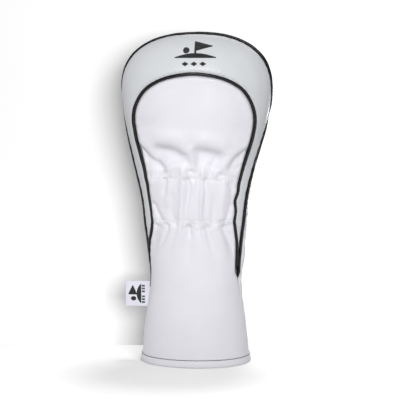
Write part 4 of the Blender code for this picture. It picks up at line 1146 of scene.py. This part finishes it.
def foam_piece(name, side, grid, node, tree):
    own = FOAM_DEPTH + 0.12 * waver(grid[..., 0], grid[..., 1], 80, 22.0)
    depth = give_way(tree, side, grid, own, 1.3)
    thickness = np.maximum(FOAM_DEPTH + FOAM_T - depth, 0.5)[..., None]
    piece = slab(name, skin(side, grid[..., 0], grid[..., 1], -depth), side, thickness, foam)
    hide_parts(node)
    return piece


pad = even(upper(inset(front_seam, FOAM_INSET), FOAM_FOOT_Z), 700)
foam_front = foam_piece("front_foam", 1, coons(*split_sides(pad), 88, 80), "front_padding", front_tree)
pad = even(upper(inset(perimeter, -FOAM_INSET), FOAM_FOOT_Z), 900)
foam_back = foam_piece("back_foam", -1, coons(*split_sides(np.stack(to_back(pad[:, 0], pad[:, 1]), 1)), 60, 50), "back_padding", back_tree)
fi, pi = two_ends(inset(front_seam, -FOAM_INSET), (FOAM_FOOT_Z, FOAM_FOOT_Z)), two_ends(inset(perimeter, FOAM_INSET), (FOAM_FOOT_Z, FOAM_FOOT_Z))
foam_gusset = foam_piece("gusset_foam", 1, strip(pi, fi, 150, 12), "gusset_padding", gusset_tree)


def limits_at(line, z):
    m = len(line) // 2
    return np.interp(z, line[:m][:, 1], line[:m][:, 0]), np.interp(z, line[m:][::-1, 1], line[m:][::-1, 0])


def band(line, z0, z1, rows, columns, margin):
    gr = np.zeros((rows + 1, columns + 1, 2))
    for j, z in enumerate(np.linspace(z0, z1, rows + 1)):
        a, b = limits_at(line, z)
        gr[j, :, 0] = np.linspace(a + margin, b - margin, columns + 1)
        gr[j, :, 1] = z
    return gr


for name, side, line, node in (("front_elastic_web", 1, front_edge, "front_elastic"), ("back_elastic_web", -1, bl, "back_elastic")):
    e = band(line, 140.5, 189.5, 24, 60, 2.4)
    depth = give_way(front_tree if side > 0 else back_tree, side, e, 1.9 + 0.10 * np.sin(e[..., 1] * 2 * math.pi / 3.0), 1.3)
    pts = skin(side, e[..., 0], e[..., 1], -depth)
    piece = slab(name, pts, side, 0.55, elastic)
    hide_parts(node)
    elastic_pieces.append((piece, pts))

# ---------------------------------------------------------------- crown embroidery: a flag on a green, and three small diamonds


def spans(poly, z):
    """The stretches of a horizontal line that lie inside a polygon."""
    xs = []
    for (x0, z0), (x1, z1) in zip(poly, poly[1:] + poly[:1]):
        if (z0 > z) != (z1 > z):
            xs.append((x1 - x0) * (z - z0) / (z1 - z0) + x0)
    xs.sort()
    return list(zip(xs[::2], xs[1::2]))


def satin(shape, angle, spacing=0.42):
    """Rows of long stitches that fill a shape, at an angle to the horizontal."""
    c, s = math.cos(math.radians(angle)), math.sin(math.radians(angle))
    turned = [(x * c + z * s, -x * s + z * c) for x, z in shape]
    lo, hi = min(p[1] for p in turned), max(p[1] for p in turned)
    out = []
    for k, v in enumerate(np.arange(lo + spacing / 2, hi, spacing)):
        for u0, u1 in spans(turned, v):
            if u1 - u0 < 0.25:
                continue
            wob = 0.06 * math.sin(k * 2.3)
            u0, u1 = u0 - 0.05 + wob, u1 + 0.05 + wob
            out.append([(u0 * c - v * s, u0 * s + v * c), (u1 * c - v * s, u1 * s + v * c)])
    return out


def stitched(runs, radius, height):
    """Each run as a raised thread on the gusset: rises from one needle hole, lies over the padding, goes down the other."""
    paths, norms = [], []
    for (xa, za), (xb, zb) in runs:
        length = math.hypot(xb - xa, zb - za)
        parts = max(1, int(math.ceil(length / 7.0)))
        for i in range(parts):
            path, nn = [], []
            for q in (0.0, 0.1, 0.3, 0.5, 0.7, 0.9, 1.0):
                w = (i + q) / parts
                x, z = xa + (xb - xa) * w, za + (zb - za) * w
                a, b = front_to_chart(x, z)
                _, _, n = frame_at(1, a, b)
                p = surface(1, a, b)
                path.append(onto(gusset_tree, p, n, height * (1 - (2 * q - 1) ** 4) + 0.02))
                nn.append(n)
            paths.append(path)
            norms.append(nn)
    return paths, norms


EX, EZ = 1.4, 308.4
pole = [(-0.9, -4.4), (0.5, -4.4), (0.5, 8.4), (-0.9, 8.4)]
flag = [(0.5, 8.4), (16.4, 4.0), (0.5, -0.6)]
green = [(-20.0 + 40.0 * k / 24, -7.4 + 4.2 * math.sin(math.pi * k / 24) ** 0.9) for k in range(25)] + [(20.0, -7.5), (-20.0, -7.5)]
ball = [(-8.8 + 2.9 * math.cos(q), -0.3 + 2.9 * math.sin(q)) for q in np.linspace(0, 2 * math.pi, 20, endpoint=False)]
shapes = [(pole, 0.0), (flag, 72.0), (green, 90.0), (ball, 35.0)]
paths, norms = [], []
for shape, angle in shapes:
    runs = satin([(x + EX, z + EZ) for x, z in shape], angle)
    p, n = stitched(runs, 0.27, 0.42)
    paths += p
    norms += n
emblem = tubes("crown_embroidery", paths, 0.27, thread_black, sides=6, normals=norms)
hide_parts("crown_emblem")

CX, CZ = 0.2, 295.0
paths, norms = [], []
for x0 in (-8.4, 0.0, 8.4):
    diamond = [(x0 - 3.0, 0.0), (x0, 2.0), (x0 + 3.0, 0.0), (x0, -2.0)]
    runs = satin([(x + CX, z + CZ) for x, z in diamond], 90.0, 0.4)
    p, n = stitched(runs, 0.2, 0.3)
    paths += p
    norms += n
bar = tubes("crown_small_embroidery", paths, 0.22, thread_black, sides=6, normals=norms)
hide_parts("crown_emblem_bar")

# ---------------------------------------------------------------- side label
z0, z1 = LABEL_Z


def seam_point(z, out):
    ang = float(np.interp(z, [q[1] for q in PERIMETER_LEFT], [q[0] for q in PERIMETER_LEFT]))
    return skin(1, np.array(-ang), np.array(z), np.array(out)) + np.array([0.0, LABEL_BEHIND, 0.0])


pivot = (seam_point(z0, LABEL_OUT) + seam_point(z1, LABEL_OUT)) / 2
slope = (seam_point(z1, LABEL_OUT) - seam_point(z0, LABEL_OUT)) / (z1 - z0)
PLY, HALF = 0.42, 0.60


def label_y(x, z):
    """A slight set in the tape, so that it isn't dead flat."""
    u = np.clip((-48.0 - x) / 24.0, 0, 1)
    return 0.55 * np.sin(u * math.pi) * (0.6 + 0.4 * np.sin((z - 55) / 25.6 * math.pi * 1.3)) - 0.35 * u**2 * np.sin((z - 60) / 9.0)


cols = []
path = [("front", u) for u in np.linspace(0, 1, 34)] + [("fold", q) for q in np.linspace(math.pi / 2, 3 * math.pi / 2, 9)[1:-1]] + [("back", u) for u in np.linspace(1, 0, 34)]
zs = np.linspace(z0, z1, 30)
label_pts = np.zeros((len(zs), len(path), 3))
for j, z in enumerate(zs):
    at_z = pivot + slope * (z - pivot[2])
    root = at_z[0] + 2.6
    tip = LABEL_END_X + HALF
    for i, (kind, q) in enumerate(path):
        if kind == "fold":
            x, y = tip + HALF * math.cos(q), HALF * math.sin(q)
            y = -y
        else:
            x = root + (tip - root) * q
            y = -HALF if kind == "front" else HALF
        label_pts[j, i] = (x, y + pivot[1] + float(label_y(x, z)), z)
label = slab("side_label_tape", label_pts[:, ::-1], 1, PLY, label_white, 40)
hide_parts("side_label")
label_tree = BVHTree.FromPolygons([tuple(v.co / MM) for v in label.data.vertices], [tuple(p.vertices) for p in label.data.polygons], epsilon=0.0)


def patch(name, shapes, material, lift=0.07):
    """Woven figures: thin raised areas on the label's front face, as short weft floats."""
    paths, norms = [], []
    for shape in shapes:
        for (xa, za), (xb, zb) in satin(shape, 0.0, 0.30):
            path = []
            for q in (0.0, 0.25, 0.5, 0.75, 1.0):
                x, z = xa + (xb - xa) * q, za + (zb - za) * q
                path.append(onto(label_tree, np.array([x, pivot[1], z]), np.array([0.0, -1.0, 0.0]), lift * (1 - (2 * q - 1) ** 4)))
            paths.append(path)
            norms.append([np.array([0.0, -1.0, 0.0])] * 5)
    return tubes(name, paths, 0.17, material, sides=6, normals=norms)


def quarter_turn(shape, across, along):
    """A crown figure turned a quarter turn and scaled to the label: its foot towards the seam."""
    return [(-63.8 - (z - 0.4) * across, 65.6 + x * along) for x, z in shape]


bold_green = [(-20.0 + 40.0 * k / 24, -7.4 + 5.4 * math.sin(math.pi * k / 24) ** 0.8) for k in range(25)] + [(20.0, -7.5), (-20.0, -7.5)]
bold_pole = [(-1.9, -4.6), (0.9, -4.6), (0.9, 8.2), (-1.9, 8.2)]
bold_flag = [(0.9, 8.2), (17.6, 3.0), (0.9, -1.6)]
bold_ball = [(-10.0 + 4.4 * math.cos(q), 2.0 + 3.2 * math.sin(q)) for q in np.linspace(0, 2 * math.pi, 20, endpoint=False)]
marks = [quarter_turn(f, 0.80, 0.50) for f in (bold_green, bold_pole, bold_flag, bold_ball)]
mark = patch("label_mark_woven", marks, label_black)
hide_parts("label_mark")
ticks = [[(-56.6, z), (-53.6, z), (-53.6, z + 1.9), (-56.6, z + 1.9)] for z in (56.0, 58.9, 61.8, 67.0, 69.9, 72.8)]
small = patch("label_mark_small", ticks, label_green)

# ---------------------------------------------------------------- what each sheet was cut to


def cut(points, fullness=1.0):
    """Flat width and length of a grid of points in mm, and its area, as metres and square metres; fullness is the cloth drawn up in gathers."""
    across = np.linalg.norm(np.diff(points, axis=1), axis=2).sum(1)
    along = np.linalg.norm(np.diff(points, axis=0), axis=2).sum(0)
    u, v = np.diff(points, axis=1)[:-1], np.diff(points, axis=0)[:, :-1]
    area = np.linalg.norm(np.cross(u, v), axis=2).sum()
    return (float(across.max()) * fullness * MM, float(along.max()) * MM), float(area) * fullness * MM * MM


def declare(obj, points, fullness=1.0):
    (w, l), area = cut(points, fullness)
    area = min(area, w * l)
    share = None if area < 0.3 * w * l else area
    if share is None:
        l = area / w / 0.62
        share = 0.62 * w * l
    print("sheet", obj.name, "flat", round(w, 3), "x", round(l, 3), "m, area", round(share, 4), "m2")


declare(front_panel, front_pts, 1.04)
declare(back_panel, back_pts, 1.04)
declare(gusset, gusset_pts)
for piece, pts, on in lining_pieces:
    declare(piece, pts)
for piece, pts in elastic_pieces:
    declare(piece, pts)
declare(label, label_pts)

# ---------------------------------------------------------------- riding
for o in list(bpy.context.scene.objects):
    if o.type != "MESH" or "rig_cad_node" in o:
        continue
    if o in (mark, small):
        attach(o, "label")
    elif o is not label:
        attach(o, "cover")
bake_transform(label)

# ---------------------------------------------------------------- studio
SKY, KEY, SWEEP, FLOOR = (0.41, 0.52), 0.96, 1.52, (1.95, 0.49)
world = bpy.data.worlds.new("studio")
bpy.context.scene.world = world
world.use_nodes = True
wt = world.node_tree
direction = wt.nodes.new("ShaderNodeTexCoord")
split = wt.nodes.new("ShaderNodeSeparateXYZ")
height = wt.nodes.new("ShaderNodeMapRange")
height.inputs["From Min"].default_value, height.inputs["From Max"].default_value = -0.5, 0.6
height.inputs["To Min"].default_value, height.inputs["To Max"].default_value = SKY[0], SKY[1]
wt.links.new(direction.outputs["Generated"], split.inputs[0])
wt.links.new(split.outputs["Z"], height.inputs["Value"])
wt.links.new(height.outputs[0], wt.nodes["Background"].inputs["Strength"])
wt.nodes["Background"].inputs["Color"].default_value = (1.0, 1.0, 1.0, 1.0)


def plain(name, colour):
    m = bpy.data.materials.new(name)
    m.use_nodes = True
    b = m.node_tree.nodes["Principled BSDF"]
    b.inputs["Base Color"].default_value = (*colour, 1.0)
    b.inputs["Roughness"].default_value = 0.9
    b.inputs["Specular IOR Level"].default_value = 0.0
    return m


def plane(name, corners, material):
    mesh = bpy.data.meshes.new(name)
    mesh.from_pydata(corners, [], [(0, 1, 2, 3)])
    mesh.materials.append(material)
    o = bpy.data.objects.new(name, mesh)
    bpy.context.scene.collection.objects.link(o)
    o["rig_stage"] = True
    return o


floor_mat, wall_mat = plain("pale_floor", (0.72, 0.72, 0.72)), plain("pale_wall", (0.58, 0.58, 0.58))
floor = plane("floor", [(-4, -4, -0.0003), (4, -4, -0.0003), (4, 4, -0.0003), (-4, 4, -0.0003)], floor_mat)
WALL_Y = 0.056
wall = plane("backdrop", [(-2.5, WALL_Y, -0.0003), (2.5, WALL_Y, -0.0003), (2.5, WALL_Y, 3.0), (-2.5, WALL_Y, 3.0)], wall_mat)
# the backdrop shows from the front only, and neither lights nor shades the object
t = wall_mat.node_tree
geo, clear, mix = t.nodes.new("ShaderNodeNewGeometry"), t.nodes.new("ShaderNodeBsdfTransparent"), t.nodes.new("ShaderNodeMixShader")
t.links.new(geo.outputs["Backfacing"], mix.inputs[0])
t.links.new(t.nodes["Principled BSDF"].outputs[0], mix.inputs[1])
t.links.new(clear.outputs[0], mix.inputs[2])
t.links.new(mix.outputs[0], t.nodes["Material Output"].inputs[0])
for o in (wall, floor):
    o.visible_diffuse = False
    o.visible_glossy = o is floor
    o.visible_transmission = False
wall.visible_shadow = False


def softbox(name, place, aim, size, shown, only=None):
    """A soft rectangular light; shown is how bright it makes a white surface that faces it at its aim."""
    data = bpy.data.lights.new(name, "AREA")
    data.shape = "RECTANGLE"
    data.size, data.size_y = size
    gap = Vector(aim) - Vector(place)
    data.energy = shown * math.pi**2 * gap.length_squared
    o = bpy.data.objects.new(name, data)
    bpy.context.scene.collection.objects.link(o)
    o.location = place
    o.rotation_mode = "QUATERNION"
    o.rotation_quaternion = gap.to_track_quat("-Z", "Y")
    if only is not None:
        group = bpy.data.collections.new(name + "_on")
        for x in only:
            group.objects.link(x)
        o.light_linking.receiver_collection = group
    return o


pieces = [o for o in bpy.context.scene.objects if o.type in ("MESH", "CURVE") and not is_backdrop(o)]
key_data = bpy.data.lights.new("key", "SPOT")
key_data.energy = KEY * 4 * math.pi**2 * 1.27**2
key_data.shadow_soft_size = 0.26
key_data.spot_size, key_data.spot_blend = math.radians(26.0), 1.0
key = bpy.data.objects.new("key", key_data)
bpy.context.scene.collection.objects.link(key)
key.location = (0.01, -1.18, 0.62)
key.rotation_mode = "QUATERNION"
key.rotation_quaternion = (Vector((0.0, 0.0, 0.178)) - key.location).to_track_quat("-Z", "Y")
lit = bpy.data.collections.new("key_on")
for o in pieces:
    lit.objects.link(o)
key.light_linking.receiver_collection = lit
softbox("back_fill", (0.3, 1.6, 0.7), (0, 0, 0.17), (0.9, 0.9), 0.27, pieces).data.specular_factor = 0.1
softbox("rim_right", (0.30, 1.20, 0.05), (0.03, 0, 0.11), (0.3, 0.5), 0.45, pieces).data.specular_factor = 0.1
softbox("sweep", (0.42, -1.40, 0.40), (-0.08, 0.05, 0.17), (0.80, 0.80), SWEEP, [wall])
softbox("floor_sweep", (0.42, -1.40, 0.40), (-0.08, 0.05, 0.0), (0.95, 0.95), FLOOR[0], [floor])
softbox("floor_top", (0.10, 0.30, 1.5), (0.0, 0.0, 0.0), (0.3, 0.3), FLOOR[1], [floor])
softbox("base_lift", (-0.27, -0.10, 0.01), (-0.07, 0.056, 0.0), (0.06, 0.06), 0.22, [wall])

# ---------------------------------------------------------------- camera
cam_data = bpy.data.cameras.new("camera")
cam = bpy.data.objects.new("camera", cam_data)
bpy.context.scene.collection.objects.link(cam)
cam_data.lens, cam_data.sensor_width = 90.0, 36.0
az, el = math.radians(4.0), math.radians(5.0)
target = Vector((0.0, 0.0, 0.167))
back = Vector((math.sin(az) * math.cos(el), -math.cos(az) * math.cos(el), math.sin(el)))
cam.location = target + back * 1.0
aim = target + Vector((0.003, 0.0, -0.005))
cam.rotation_mode = "QUATERNION"
cam.rotation_quaternion = (aim - cam.location).to_track_quat("-Z", "Y")
cam_data.clip_start, cam_data.clip_end = 0.01, 100.0
bpy.context.scene.camera = cam
bpy.context.scene.view_settings.view_transform = "Standard"
bpy.context.scene.view_settings.look = "None"
